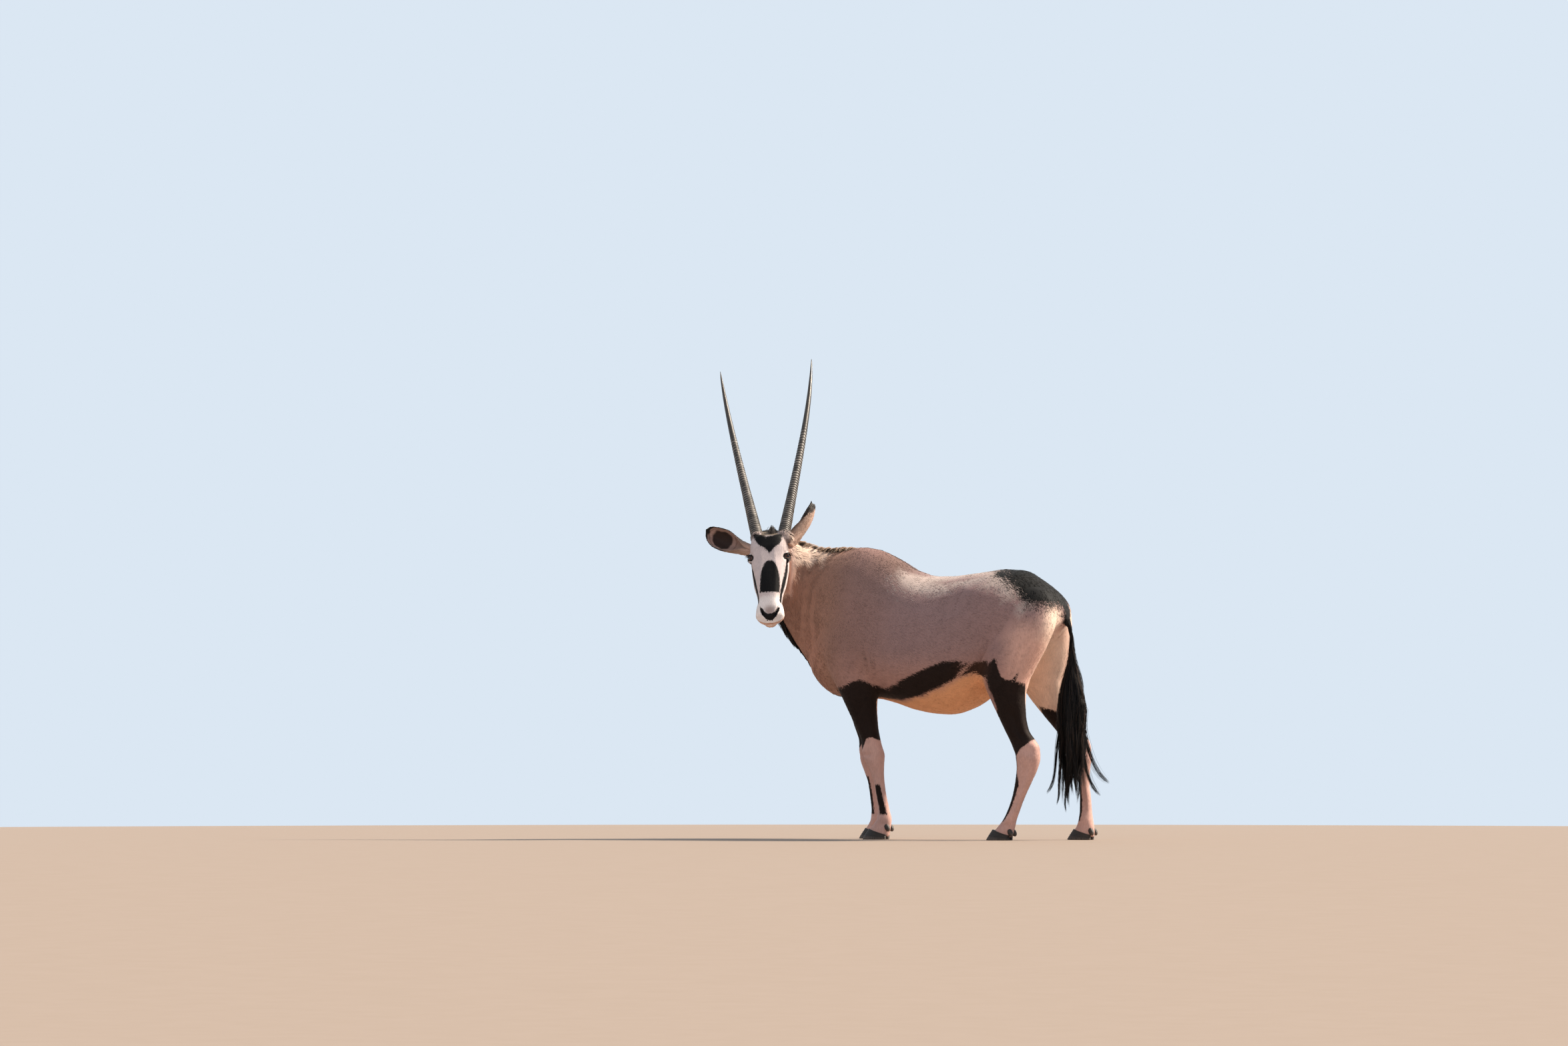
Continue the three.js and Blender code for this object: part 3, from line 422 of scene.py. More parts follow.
# %% [markdown]
# ## The head's flesh
# The skull is the same kind of tube along the head's own axes. The rings of muscle round the eyes, the
# chewing muscles, the swollen upper lip and the chin are balls that the remesh melts into it.

# %% Head and fine skin
def head_tube(depth):
    """The head: ovals along its own x axis."""
    x = np.linspace(HEAD[0, 0] + depth, HEAD[-1, 0] - depth, 150)
    at = [along(HEAD, k, x) for k in range(7)]
    middle = on_head(np.stack([x, 0 * x, at[3]], 1))
    across, up = np.tile(HEAD_AXES[1], (len(x), 1)), np.tile(HEAD_AXES[2], (len(x), 1))
    above, below, wide = at[1] - at[3] - depth, at[3] - at[2] - depth, at[4] - depth
    return tube(rings_of(middle, across, up, wide, above, below, at[5], at[6], 96))


def head_ball(middle, size):
    """An egg shape with its axes along the head's."""
    t = np.linspace(0.06, np.pi - 0.06, 20)
    centre = np.stack([-np.cos(t), 0 * t, 0 * t], 1) * size + middle
    across, up = np.tile(HEAD_AXES[1], (20, 1)), np.tile(HEAD_AXES[2], (20, 1))
    wide, tall = np.sin(t) * size[1], np.sin(t) * size[2]
    return tube(rings_of(on_head(centre), across, up, wide, tall, tall, 2, 2, 28))


balls = []
for side in (-1, 1):
    balls += [
        head_ball(EYE * [1, side, 1], np.array([25.5, 25.5, 25.5])),
        head_ball(np.array([344, side * 33, -68]), np.array([33, 26, 23])),
        head_ball(np.array([66, side * 50, -122]), np.array([62, 26, 52])),
    ]
balls.append(head_ball(np.array([350, 0, -95]), np.array([31, 29, 16])))
balls.append(head_ball(np.array([370, 0, -90]), np.array([29, 31, 16])))
balls += [head_ball(np.array([7, y, -43]), np.array([31, 32, 34])) for y in (61, -44)]
coarse_part = (body_points(coarse), triangles_of(coarse))
VOXEL = 2.7
skin_mesh = remeshed("skin", [coarse_part, head_tube(COAT["head"]), *balls], VOXEL)
points = body_points(skin_mesh)
edges = indices(skin_mesh.edges, "vertices", 2)
head_points = in_head(points)


def head_share(points):
    """1 on the head, 0 on the neck, and a smooth change at the jaw's corner."""
    h = in_head(points)
    wide = along(HEAD, 4, h[:, 0])
    low, high = along(HEAD, 2, h[:, 0]), along(HEAD, 1, h[:, 0])
    far = np.maximum.reduce([np.abs(h[:, 1]) - wide, low - h[:, 2], h[:, 2] - high, -40 - h[:, 0]])
    return step(22, 4, far)


jaw = np.maximum(near(head_points, [-10, 0, -110], [80, 90, 70]), near(head_points, [70, 0, -205], [60, 60, 40]))
points = relax(points, edges, 0.5 + 0 * jaw, 5)
points = relax(points, edges, np.clip(jaw, 0, 1) * 0.9, 24)
print("fine skin", len(points), "points")

# %% [markdown]
# ## Modelling the skin
# Muscles, bones, folds and nostrils are pushed in and out of the skin along its own way out. Each is
# a smooth bump or a groove along a line, a few millimetres high, and all of them are added up before
# the skin moves once.

# %% Swellings and grooves
def from_line(points, line):
    """Distance to a smooth line through given points, and how far along it the nearest place is."""
    line = np.asarray(line, float)
    t = np.linspace(0, len(line) - 1, 60)
    fine = np.stack([along(np.c_[np.arange(len(line)), line[:, k]], 1, t) for k in range(3)], 1)
    nearest = np.full(len(points), 1e9)
    place = np.zeros(len(points))
    close = np.flatnonzero(((points > fine.min(0) - 60) & (points < fine.max(0) + 60)).all(1))
    for start in range(0, len(close), 20000):
        part = close[start:start + 20000]
        apart = np.linalg.norm(points[part][:, None] - fine[None], axis=2)
        nearest[part] = apart.min(1)
        place[part] = apart.argmin(1) / 59
    return nearest, place


def ridge(points, line, wide, high):
    """A ridge, or a groove where high is below 0, that fades out at both ends of its line."""
    apart, place = from_line(points, line)
    fade = np.sin(np.pi * np.clip(place, 0.02, 0.98)) ** 0.5
    return high * fade * np.exp(-((apart / wide) ** 2))


def body_forms(points):
    """Height of the muscles, bones and folds of the trunk, the same on both sides."""
    p = mirrored(points)
    high = 9 * near(p, [262, 165, 1022], [42, 40, 40])
    high -= 8 * near(p, [165, 215, 985], [62, 60, 62])
    high += 9 * near(p, [556, 92, 935], [30, 34, 62])
    high -= 6 * near(p, [500, 140, 900], [20, 60, 90])
    high += 6 * near(p, [-420, 175, 800], [60, 50, 70])
    high += 5 * near(p, [-250, 205, 760], [60, 50, 90])
    high += 4 * near(p, [-300, 150, 1020], [55, 60, 110])
    high += ridge(p, [[-205, 205, 800], [-196, 200, 740], [-200, 190, 672]], 10, 4)
    high += ridge(p, [[-224, 205, 800], [-214, 200, 730], [-222, 190, 665]], 10, -4)
    high += ridge(p, [[-462, 150, 1090], [-470, 165, 960], [-455, 170, 830]], 16, -5)
    high += ridge(p, [[-415, 160, 1110], [-410, 178, 960], [-400, 186, 850]], 13, -4)
    high += ridge(p, [[-508, 120, 1060], [-520, 140, 930], [-505, 140, 800]], 14, -4)
    high += ridge(p, [[252, 196, 655], [290, 196, 690], [330, 205, 760], [350, 205, 850]], 20, -6)
    return high


high = body_forms(points) * (1 - head_share(points))

# %% Bones of the legs
def leg_place(points, foot):
    """Where points lie on a leg: the share from its front to its back, how far out to its own side
    from -1 to 1, and 1 where they belong to that leg."""
    name, table, side, cut, toe, heel, dewclaw = foot
    z = points[:, 2]
    front, back = (along(table, k, z) for k in ((1, 2) if side < 0 else (3, 4)))
    share = (points[:, 0] - front) / (back - front)
    out = (side * points[:, 1] - along(table, 5, z)) / along(table, 6, z)
    belongs = (np.abs(share - 0.5) < 0.75) & (np.abs(out) < 1.4) & (z < cut + 150)
    return share, out, belongs


def leg_forms(points, foot):
    """Height of the bones, tendons and hollows of one leg."""
    share, out, belongs = leg_place(points, foot)
    z = points[:, 2]
    wide = np.abs(out)
    spot = lambda s, height, reach: np.exp(-(((share - s) / 0.2) ** 2) - ((z - height) / reach) ** 2)
    tendon = np.exp(-(((share - 0.56) / 0.13) ** 2)) * step(0.5, 0.9, wide)
    if "fore" in foot[0]:
        high = -3.4 * tendon * step(100, 140, z) * step(310, 270, z)
        high += 2.6 * spot(0.2, 372, 26) + 2.4 * spot(0.3, 330, 16) - 2.6 * spot(0.3, 350, 9)
        high += 3.4 * spot(0.95, 352, 20) - 2.2 * spot(0.55, 352, 16) * step(0.5, 0.9, wide)
        high -= 4 * np.exp(-(((share - 0.62) / 0.14) ** 2)) * step(430, 480, z) * step(600, 540, z)
    else:
        high = -3.4 * tendon * step(100, 150, z) * step(330, 280, z)
        high -= 9 * np.exp(-(((share - 0.68) / 0.15) ** 2)) * step(400, 440, z) * step(570, 500, z) * step(0.1, 0.7, wide)
        high += 3.4 * spot(0.35, 352, 26) - 3.2 * spot(0.68, 372, 18) * step(0.4, 0.9, wide)
        high += 2.2 * spot(0.85, 330, 24)
    high += 2.4 * spot(0.5, 88, 16) * step(0.4, 0.9, wide) - 2.2 * spot(0.6, 62, 12)
    return np.where(belongs, high, 0)


for foot in FEET:
    high = high + leg_forms(points, foot)

# %% [markdown]
# ## The face
# The long face has a flat bridge between two nose bones, a hollow below each eye, a ridge that
# carries the eye, and a broad soft upper lip. The nostrils are slits that curve in towards each other
# and cut deep. The mouth is one fine line that turns up at its corners.

# %% Forms of the face
NOSTRIL = np.array([[324, 43, -28], [340, 37, -31], [356, 28, -38], [370, 17, -48], [379, 9, -56]], float)
MOUTH = np.array([[298, 57, -92], [330, 60, -88], [356, 55, -80], [374, 41, -74], [386, 21, -71], [391, 0, -70]], float)


def face_forms(head_points):
    """Height of the bones, lips and slits of the face, in the head's own axes."""
    p = mirrored(head_points)
    high = 3.5 * near(p, [66, 56, -20], [30, 22, 16])
    high += ridge(p, [[100, 84, -74], [150, 78, -84], [205, 68, -82], [250, 58, -78]], 9, 5)
    high += ridge(p, [[140, 66, -36], [190, 60, -40], [250, 52, -48], [290, 48, -52]], 13, -5)
    high += ridge(p, [[60, 28, 2], [120, 30, -4], [190, 32, -8], [260, 30, -16], [310, 26, -22]], 10, 1.8)
    high -= 4 * near(p, [125, 70, -52], [16, 14, 12])
    high += ridge(p, [[110, 62, -165], [170, 50, -150], [230, 40, -132]], 13, 4)
    high += ridge(p, [[30, 78, -110], [90, 72, -150], [140, 62, -140]], 14, -4)
    high += ridge(p, NOSTRIL + [0, 9, 3], 6, 3.2) + ridge(p, NOSTRIL - [0, 9, -3], 6, 2.4)
    high += ridge(p, NOSTRIL, 3.4, -11)
    apart, place = from_line(p, MOUTH)
    high -= 5.5 * np.exp(-((apart / 3.2) ** 2)) * step(0, 0.12, place)
    high += 2.2 * np.exp(-(((apart - 8) / 5) ** 2)) * step(0.3, 0.7, place)
    high -= 2.6 * near(p, [384, 0, -70], [14, 2.6, 12])
    return high


high = high + face_forms(head_points) * head_share(points)
high = high + 10 * near(head_points, [125, 72, -128], [100, 45, 50]) * head_share(points)

# %% Move the skin
def lid_outline(angle):
    """The almond opening between the lids, in the eye's own plane: 19.5 mm to each corner, and
    higher above than below."""
    long, over, under = 19.5, 11.5, 10.0
    c, s = np.cos(angle), np.sin(angle)
    tall = np.where(s > 0, over, under) * np.abs(s) ** 1.15
    return long * c, np.sign(s) * tall


def eye_frame(side):
    """Middle of an eye, the way it looks, the way from its rear corner to its front one, and up."""
    gaze = unit(side * 0.7 * HEAD_AXES[1] + 0.65 * HEAD_AXES[2] + 0.15 * HEAD_AXES[0])
    long = 0.3 * HEAD_AXES[0] - side * 0.65 * HEAD_AXES[1] + 0.7 * HEAD_AXES[2]
    long = unit(long - gaze * (long @ gaze))
    up = np.cross(long, gaze) * side
    return on_head(EYE * [1, side, 1]), gaze, long, up


def open_eyes(points):
    """Skin over the opening between the lids goes in behind the eyeball, and the rest of the orbit
    stays just outside it."""
    moved = points.copy()
    for side in (-1, 1):
        middle, gaze, long, up = eye_frame(side)
        close = np.flatnonzero(np.linalg.norm(points - middle, axis=1) < 48)
        from_eye = points[close] - middle
        a, b, depth = from_eye @ long, from_eye @ up, from_eye @ gaze
        limit = np.hypot(*lid_outline(np.arctan2(b, a)))
        outside = np.hypot(a, b) - limit
        distance = np.linalg.norm(from_eye, axis=1)
        lid = EYE_RADIUS + 4.2 - 1.6 * step(9, 0, outside)
        beyond = np.where(distance < lid, lid, lid + (distance - lid) * step(0, 15, outside))
        radius = np.where(outside < 0, EYE_RADIUS - 7, beyond)
        front = depth > 0
        moved[close[front]] = (middle + unit(from_eye) * column(radius))[front]
    return moved


triangles = triangles_of(skin_mesh)
points = points + normals_of(points, triangles) * column(high)
points = open_eyes(points)
set_points(skin_mesh, points)
print("skin moved by", high.min().round(1), "to", high.max().round(1), "mm")

# %% [markdown]
# ## Fewer faces where the form is plain
# The remesh is even, but a face needs many more faces than a flank. Decimate takes a weight for each
# vertex, so the head keeps nearly all of its points and the trunk gives most of them up.

# %% Thin out the skin
skin = bpy.data.objects.new("skin", skin_mesh)
bpy.context.scene.collection.objects.link(skin)
weight = np.clip(1 - head_share(points) - 0.45 * step(620, 450, points[:, 2]), 0.02, 1)
group = skin.vertex_groups.new(name="plain")
for level in np.linspace(0.02, 1, 12):
    chosen = np.flatnonzero(np.abs(weight - level) <= 0.045)
    group.add(chosen.tolist(), float(level), "REPLACE")
thin = skin.modifiers.new("thin out", "DECIMATE")
thin.ratio = min(1.0, 186000 / (2 * len(skin_mesh.polygons)))
thin.vertex_group = "plain"
thin.vertex_group_factor = 1.0
thinned = bpy.data.meshes.new_from_object(skin.evaluated_get(bpy.context.evaluated_depsgraph_get()))
skin.modifiers.clear()
skin.data = thinned
skin.vertex_groups.clear()
thinned.shade_smooth()
print("skin", len(triangles_of(thinned)), "triangles")

# %% [markdown]
# ## The gemsbok's markings
# The pattern is the animal's own: a black line down the back that opens into a croup patch, a black
# stripe that parts the flank from the white belly, black upper legs, and a black-and-white face. Each
# mark is kept as a distance to its edge in millimetres, positive inside, so that the edge stays sharp
# on a coarse mesh and a little noise makes it look like hair. The skin and every tuft ask the same
# function.

# %% Distances to the marks
def inside(x, y, outline):
    """Distance of points to a closed outline in their plane, positive inside it."""
    outline = np.asarray(outline, float)
    nearest = np.full(len(x), 1e9)
    odd = np.zeros(len(x), bool)
    for (ax, ay), (bx, by) in zip(outline, np.roll(outline, -1, axis=0)):
        dx, dy = bx - ax, by - ay
        t = np.clip(((x - ax) * dx + (y - ay) * dy) / (dx * dx + dy * dy), 0, 1)
        nearest = np.minimum(nearest, np.hypot(x - ax - t * dx, y - ay - t * dy))
        if dy:
            odd ^= ((ay > y) != (by > y)) & (x < ax + dx * (y - ay) / dy)
    return np.where(odd, nearest, -nearest)


# half width of the black line along the spine, by x
SPINE_BLACK = np.array([[-420, 2], [-300, 4], [-150, 6], [0, 7], [120, 8], [200, 14], [280, 30], [612, 30]], float)
# x and the height down to which the croup is black
CROUP_BLACK = np.array([[262, 1130], [300, 1112], [350, 1090], [410, 1052], [460, 1008], [500, 975], [560, 965], [612, 965]], float)
# x, z of the flank stripe's edge
FLANK_STRIPE = [
    (-240, 640), (-207, 640), (-139, 622), (-59, 658), (40, 699), (135, 735), (191, 742), (240, 740), (300, 737),
    (350, 744), (350, 684), (300, 682), (250, 686), (216, 681), (123, 632), (22, 597), (-81, 580), (-156, 586), (-240, 590),
]
# share from front to back of a leg, upper edge, lower edge of the black, on the outer side
FORELEG_BLACK = np.array([[0, 628, 366], [0.25, 634, 392], [0.5, 652, 420], [0.75, 664, 424], [1, 640, 412]], float)
HIND_LEG_BLACK = np.array([
    [0, 712, 344], [0.14, 727, 352], [0.25, 744, 364], [0.39, 756, 378], [0.47, 700, 384], [0.56, 668, 390],
    [0.9, 654, 412], [1, 642, 418],
], float)


def leg_black(points, foot):
    """Distance into the black of one leg: the broad upper band and the patch on the cannon."""
    share, out, belongs = leg_place(points, foot)
    z = points[:, 2]
    fore = "fore" in foot[0]
    table = FORELEG_BLACK if fore else HIND_LEG_BLACK
    outer_top, bottom = along(table, 1, share), along(table, 2, share)
    inner_top = 470 - 40 * share if fore else 565 - 45 * share
    inner_top = inner_top + (150 * step(0.35, 0, share) if fore else 0)
    top = inner_top + (outer_top - inner_top) * step(-0.45, 0.15, out)
    black = np.minimum(z - bottom, top - z)
    if not fore:
        black = np.minimum(black, (share - 0.2 * step(480, 560, z)) * 150 + 20 * step(560, 480, z))
    if fore and foot[2] < 0:
        patch = np.minimum((0.27 - np.abs(share - 0.52 + 0.0012 * (z - 165))) * 46, (out + 0.4) * 22)
        patch = np.minimum(patch, np.minimum(z - 104, 228 - z) * 0.6)
    elif fore:
        patch = np.minimum((0.4 - share) * 46, np.minimum(z - 104, 262 - z) * 0.6)
    else:
        reach = 0.1 + 0.26 * step(290, 225, z) - 0.1 * step(120, 80, z)
        patch = np.minimum((reach - share) * 60, np.minimum(z - 78, 348 - z) * 0.6)
    return np.where(belongs, np.maximum(black, patch), -1e3)


def neck_place(points):
    """The nearest station of the neck, how far points lie to its left, and their height from throat
    to nape as a share."""
    stations = np.linspace(0, 6, 61)
    nape, throat, across, _ = neck_frame(stations)
    best = np.full(len(points), 1e9)
    found = np.zeros((len(points), 3))
    for k, station in enumerate(stations):
        way = nape[k] - throat[k]
        plane = unit(np.cross(across[k], way))
        off = np.abs((points - throat[k]) @ plane) + 0.1 * np.abs((points - throat[k]) @ across[k])
        closer = off < best
        best = np.where(closer, off, best)
        share = (points - throat[k]) @ way / (way @ way)
        aside = (points - throat[k]) @ across[k]
        found[closer] = np.stack([np.full(len(points), station), aside, share], 1)[closer]
    return found.T


def croup_black(points):
    """Distance into the black of the croup. Near its edge the distance is pressed together, so that the
    ragged noise of the material decides hair by hair there, and the black looks frosted."""
    x, y, z = points.T
    down = z - along(CROUP_BLACK, 1, x)
    frosted = np.where(down > 30, down - 27.6, np.where(down > -60, down * 0.08, -4.8 + (down + 60)))
    return np.where(x > 200, np.minimum(frosted, (x - 262) * 0.8), -1e3)


def body_black(points, lined):
    """Distance into the black of the trunk and neck. lined is neck_place of the same points."""
    x, y, z = points.T
    wide = np.abs(y)
    back = np.minimum(along(SPINE_BLACK, 1, x) - wide, z - 990)
    back = np.where(x < -430, -1e3, back)
    flank = np.where(wide > 70, inside(x, z, FLANK_STRIPE), -1e3)
    station, aside, share = lined
    throat = np.where((x < -300) & (station > 0.9), np.minimum(20 - np.abs(aside), (0.3 - share) * 60), -1e3)
    chest = np.where(x < -330, np.minimum(34 - wide, 900 - z), -1e3)
    tail = np.where((x > along(DOCK, 1, z) - 24) & (wide < 34) & (z > 820), 26 - wide, -1e3)
    soft = 0.55 * np.maximum.reduce([back, flank, throat, chest, tail])
    return np.maximum(soft, croup_black(points))


# %% The face's black
FOREHEAD_PATCH = [
    (0, -60), (21, -58), (47, -46), (62, -33), (73, -13), (98, 7), (80, 21), (58, 47), (35, 58), (10, 58),
    (4, 46), (18, 24), (22, -6), (10, -26), (0, -40),
]
BLAZE = [
    (129, 6), (133, -6), (143, -15), (160, -23), (184, -30), (217, -34), (268, -38), (272, 6), (268, 45),
    (217, 47), (184, 44), (156, 37), (138, 27), (130, 17),
]
NOSE_PAD = [
    (332, -38), (350, -35), (368, -25), (380, -12), (385, 3), (380, 18), (368, 31), (350, 41), (332, 46),
    (336, 36), (352, 25), (360, 14), (360, 2), (360, -10), (352, -20), (336, -29),
]
CHEEK_STRIPE = np.array([
    [104, 62, -34], [120, 74, -48], [141, 73, -54], [171, 68, -55], [205, 61, -53], [245, 54, -50], [272, 50, -49],
    [300, 45, -50],
], float)
BROW_LINE = [[10, 76, -64], [50, 82, -60], [84, 84, -56]]


def beside_lids(p):
    """How far points of the left half of the face lie outside the lids, in the plane of the eye, and
    the angle there from the eye's front corner."""
    middle, gaze, long, up = eye_frame(1)
    from_eye = on_head(p) - middle
    a, b = from_eye @ long, from_eye @ up
    angle = np.arctan2(b, a)
    outside = np.hypot(a, b) - np.hypot(*lid_outline(angle))
    return np.where(from_eye @ gaze > -4, outside, 99.0), angle


def face_black(points):
    """Distance into the black of the face."""
    h = in_head(points)
    p = mirrored(h)
    marked = mirrored(h - [0, 5, 0])
    in_front = h[:, 2] > -62
    patch = np.where(in_front, inside(h[:, 0], h[:, 1], FOREHEAD_PATCH), -1e3)
    blaze = np.where(in_front, inside(h[:, 0], h[:, 1], BLAZE), -1e3)
    pad = np.where(h[:, 2] > -82, inside(h[:, 0], h[:, 1], NOSE_PAD), -1e3)
    slit, _ = from_line(p, NOSTRIL)
    cheek, place = from_line(marked, CHEEK_STRIPE)
    lips, _ = from_line(p, MOUTH)
    brow, _ = from_line(p, BROW_LINE)
    outside, angle = beside_lids(p)
    lids = 3.4 + 6 * np.exp(-((angle / 0.4) ** 2)) - outside
    jaw_line, _ = from_line(p, [[95, 40, -196], [60, 50, -190], [20, 62, -172]])
    stripe = 7 + 9 * step(0.02, 0.25, place) - 3 * place - cheek
    return np.maximum.reduce([
        0.7 * patch, 0.7 * blaze, 1.5 * pad, 1.5 * (5.4 - slit), 0.6 * stripe, 1.5 * lids, 0.6 * (4 - brow), 10 - jaw_line,
        2.5 * (1.7 - lips),
    ])


def black_of(points):
    """Distance into the black of the whole animal, in millimetres."""
    on_face = head_share(points)
    body = body_black(points, neck_place(points))
    for foot in FEET:
        softness = 1.3 - 0.8 * step(420, 620, points[:, 2])
        body = np.maximum(body, leg_black(points, foot) * softness)
    return np.where(on_face > 0.5, 1.6 * face_black(points), body)


# %% [markdown]
# ## The colours between the marks
# The ground colour isn't one grey: it is sandy along the back, greyer on the ribs, pinkish on the thigh
# and legs, and white on the muzzle. Painted light is laid in with it: painted sunlight on the pale back,
# the nape, the inner far thigh and the neck behind the jaw, a painted warm bounce of light that turns the
# white belly and the lower neck orange, and painted shade that greys the white face. Each area is a soft
# weight, laid over the ones before it. Blacks differ too: brown-black on the legs, blue-black on the croup
# and face.

# %% Ground colours
def drift(points, size, seed):
    """A smooth wander between about -1 and 1: the sum of five waves that run different ways."""
    random = np.random.default_rng(seed)
    total = np.zeros(len(points))
    for _ in range(5):
        wave = random.normal(size=3) * 2 / size
        total = total + np.sin(points @ wave + random.uniform(0, 2 * np.pi))
    return total / 2.2


def linear(hex_colour):
    """A colour given as sRGB hex, in the linear values that shaders work with."""
    values = np.array([int(hex_colour[i:i + 2], 16) for i in (1, 3, 5)]) / 255
    return np.where(values <= 0.04045, values / 12.92, ((values + 0.055) / 1.055) ** 2.4)


def laid_over(colours, weight, hex_colour):
    """Colours with another one laid over them by a weight."""
    return colours + column(weight) * (linear(hex_colour) - colours)


# x and the height of the ragged lower edge of the pale patch below the spine, which is partly sandy hair and partly
# painted sunlight
PALE_AND_SUNLIT_BACK = np.array([
    [-180, 1110], [-160, 1066], [-108, 1032], [-6, 1016], [60, 1046], [156, 1052], [223, 1062], [345, 1040],
    [460, 985], [520, 960],
], float)
# how far the painted sunlight on the neck behind the jaw reaches to the left, by its level on the head
SUNLIT_BESIDE_JAW = np.array([[106, 102], [130, 112], [170, 112], [232, 88], [285, 66]], float)
# x and the height of the upper edge of the same pale, partly sunlit patch
PALE_AND_SUNLIT_TOP = np.array([[-180, 1108], [-100, 1106], [-20, 1098], [40, 1125], [90, 1200], [600, 1200]], float)
BELLY_EDGE = np.array([[-300, 600], [-156, 596], [-80, 586], [22, 604], [123, 640], [216, 684], [300, 706]], float)


def ground_of(points):
    """The coat's colour between the black marks, with painted sunlight, painted warm bounce light and painted shade
    laid into it in places.
    """
    x, y, z = points.T
    wide = np.abs(y)
    tone = np.tile(linear("#957876"), (len(points), 1))
    tone = laid_over(tone, step(960, 1060, z) * step(300, -100, x) * 0.6, "#85716e")
    tone = laid_over(tone, step(-60, -260, x) * 0.7, "#916f66")
    tone = laid_over(tone, step(800, 660, z) * 0.8, "#ac8378")
    tone = laid_over(tone, step(-300, -450, x) * 0.8, "#94705f")
    # painted warm bounce light: the lower neck and chest turn orange, as if lit from the ground below
    tone = laid_over(tone, step(-380, -520, x) * step(960, 760, z) * 0.7, "#ba8672")
    hairy = points * [1, 1, 0.3]
    ragged = 20 * drift(hairy, 12, 14) + 13 * drift(hairy, 6, 15)
    # painted sunlight on the pale hair below the spine: a paler tone in a patch with a ragged edge where the light
    # stops, over hair that is sandy of itself
    edge = z - along(PALE_AND_SUNLIT_BACK, 1, x) + ragged + 10 * step(150, 260, x)
    back = step(-2, 6, edge) * step(-185, -155, x + 0.6 * ragged) * step(560, 480, x)
    back = back * step(6, -8, z - along(PALE_AND_SUNLIT_TOP, 1, x) + 0.5 * ragged)
    tone = laid_over(tone, back * 0.9, "#b7a69f")
    tone = laid_over(tone, step(1095, 1125, z) * step(-260, -180, x) * step(120, 20, x) * (1 - back) * 0.75, "#6a534b")
    tone = laid_over(tone, step(370, 500, x) * step(960, 830, z) * 0.9, "#e0b2a2")
    # painted warm bounce light: the white belly is coloured orange, as if lit from the ground below
    belly = step(0, 22, along(BELLY_EDGE, 1, x) - z) * step(-300, -240, x) * step(330, 300, x)
    tone = laid_over(tone, belly, "#e6a87d")
    # the pale inner thigh of the far hind leg, made brighter as painted sunlight
    inner = step(0.1, -0.5, np.maximum(leg_place(points, FEET[2])[1], leg_place(points, FEET[3])[1]))
    tone = laid_over(tone, inner * step(300, 360, x) * step(900, 800, z) * step(500, 560, z), "#ecccb8")
    tone = laid_over(tone, step(555, 590, x) * step(1000, 940, z) * step(26, 44, wide), "#e6cab9")
    tone = laid_over(tone, step(470, 430, z), "#cba399")
    on_face = head_share(points)
    # pale hair on the top of the neck, made brighter as painted sunlight
    nape = step(-440, -520, x) * step(1130, 1190, z + 12 * drift(points, 30, 16))
    tone = laid_over(tone, nape * (1 - on_face) * 0.9, "#ecd2c0")
    h = in_head(points)
    p = mirrored(h)
    level = 0.9 * h[:, 0] - 0.42 * h[:, 2]
    # painted sunlight: a bright pale band on the neck just behind the jaw
    sunlit_beside_jaw = along(SUNLIT_BESIDE_JAW, 1, level) - h[:, 1] + 0.1 * h[:, 2]
    tone = laid_over(tone, step(-5, 5, sunlit_beside_jaw) * step(106, 122, level) * step(285, 250, level), "#fbdcc8")
    # painted shade: the face's white hair is laid on as a pinkish grey, and only the end of the muzzle keeps the full
    # white
    tone = laid_over(tone, on_face, "#d3c5c5")
    tone = laid_over(tone, on_face * step(275, 300, h[:, 0]), "#f1e9e8")
    behind = step(-76, -90, h[:, 2]) * step(320, 270, h[:, 0])
    tone = laid_over(tone, on_face * behind * 0.9, "#d0aa98")
    crown = on_face * step(24, 12, h[:, 0]) * step(40, 30, np.abs(h[:, 1] - 6))
    tone = laid_over(tone, crown, "#7b6d60")
    temple = on_face * near(h, np.array([28, 76, -52]), np.array([46, 28, 40]))
    collar = on_face * step(28, 12, h[:, 0]) * step(36, 46, np.abs(h[:, 1] - 6)) * step(-110, -90, h[:, 2])
    tone = laid_over(tone, np.maximum(np.minimum(1.4 * temple, 0.85), 0.9 * collar), "#857673")
    _, along_mouth = from_line(p, MOUTH)
    lips = on_face * step(9, 5, from_line(p, MOUTH)[0] + 3 * step(0.2, 0.7, -along_mouth)) * step(0.15, 0.4, along_mouth)
    tone = laid_over(tone, lips * 0.8, "#d49a7c")
    chin = on_face * step(352, 372, h[:, 0]) * step(-76, -84, h[:, 2])
    tone = laid_over(tone, chin * 0.8, "#e8b99d")
    between = near(h, np.array([350, 4, -36]), np.array([30, 34, 30]))
    return laid_over(tone, on_face * step(0.2, 0.95, between) * 0.8, "#a08a86")


def dark_of(points):
    """The colour of the black marks."""
    dark = np.tile(linear("#0c0c0f"), (len(points), 1))
    x, _, z = points.T
    dark = laid_over(dark, step(900, 700, z) * step(-640, -560, x), "#1e110c")
    dark = laid_over(dark, step(220, 270, x) * step(360, 320, x) * step(680, 700, z), "#3a241a")
    return laid_over(dark, step(250, 300, x) * step(930, 960, z), "#060607")


# %% [markdown]
# ## Nodes
# One small function adds a node with its settings and its links, so that a material reads from top
# to bottom like a recipe.

# %% Node helper
def new_material(name):
    """An empty material and its tree."""
    material = bpy.data.materials.new(name)
    material.use_nodes = True
    material.node_tree.nodes.clear()
    return material, material.node_tree


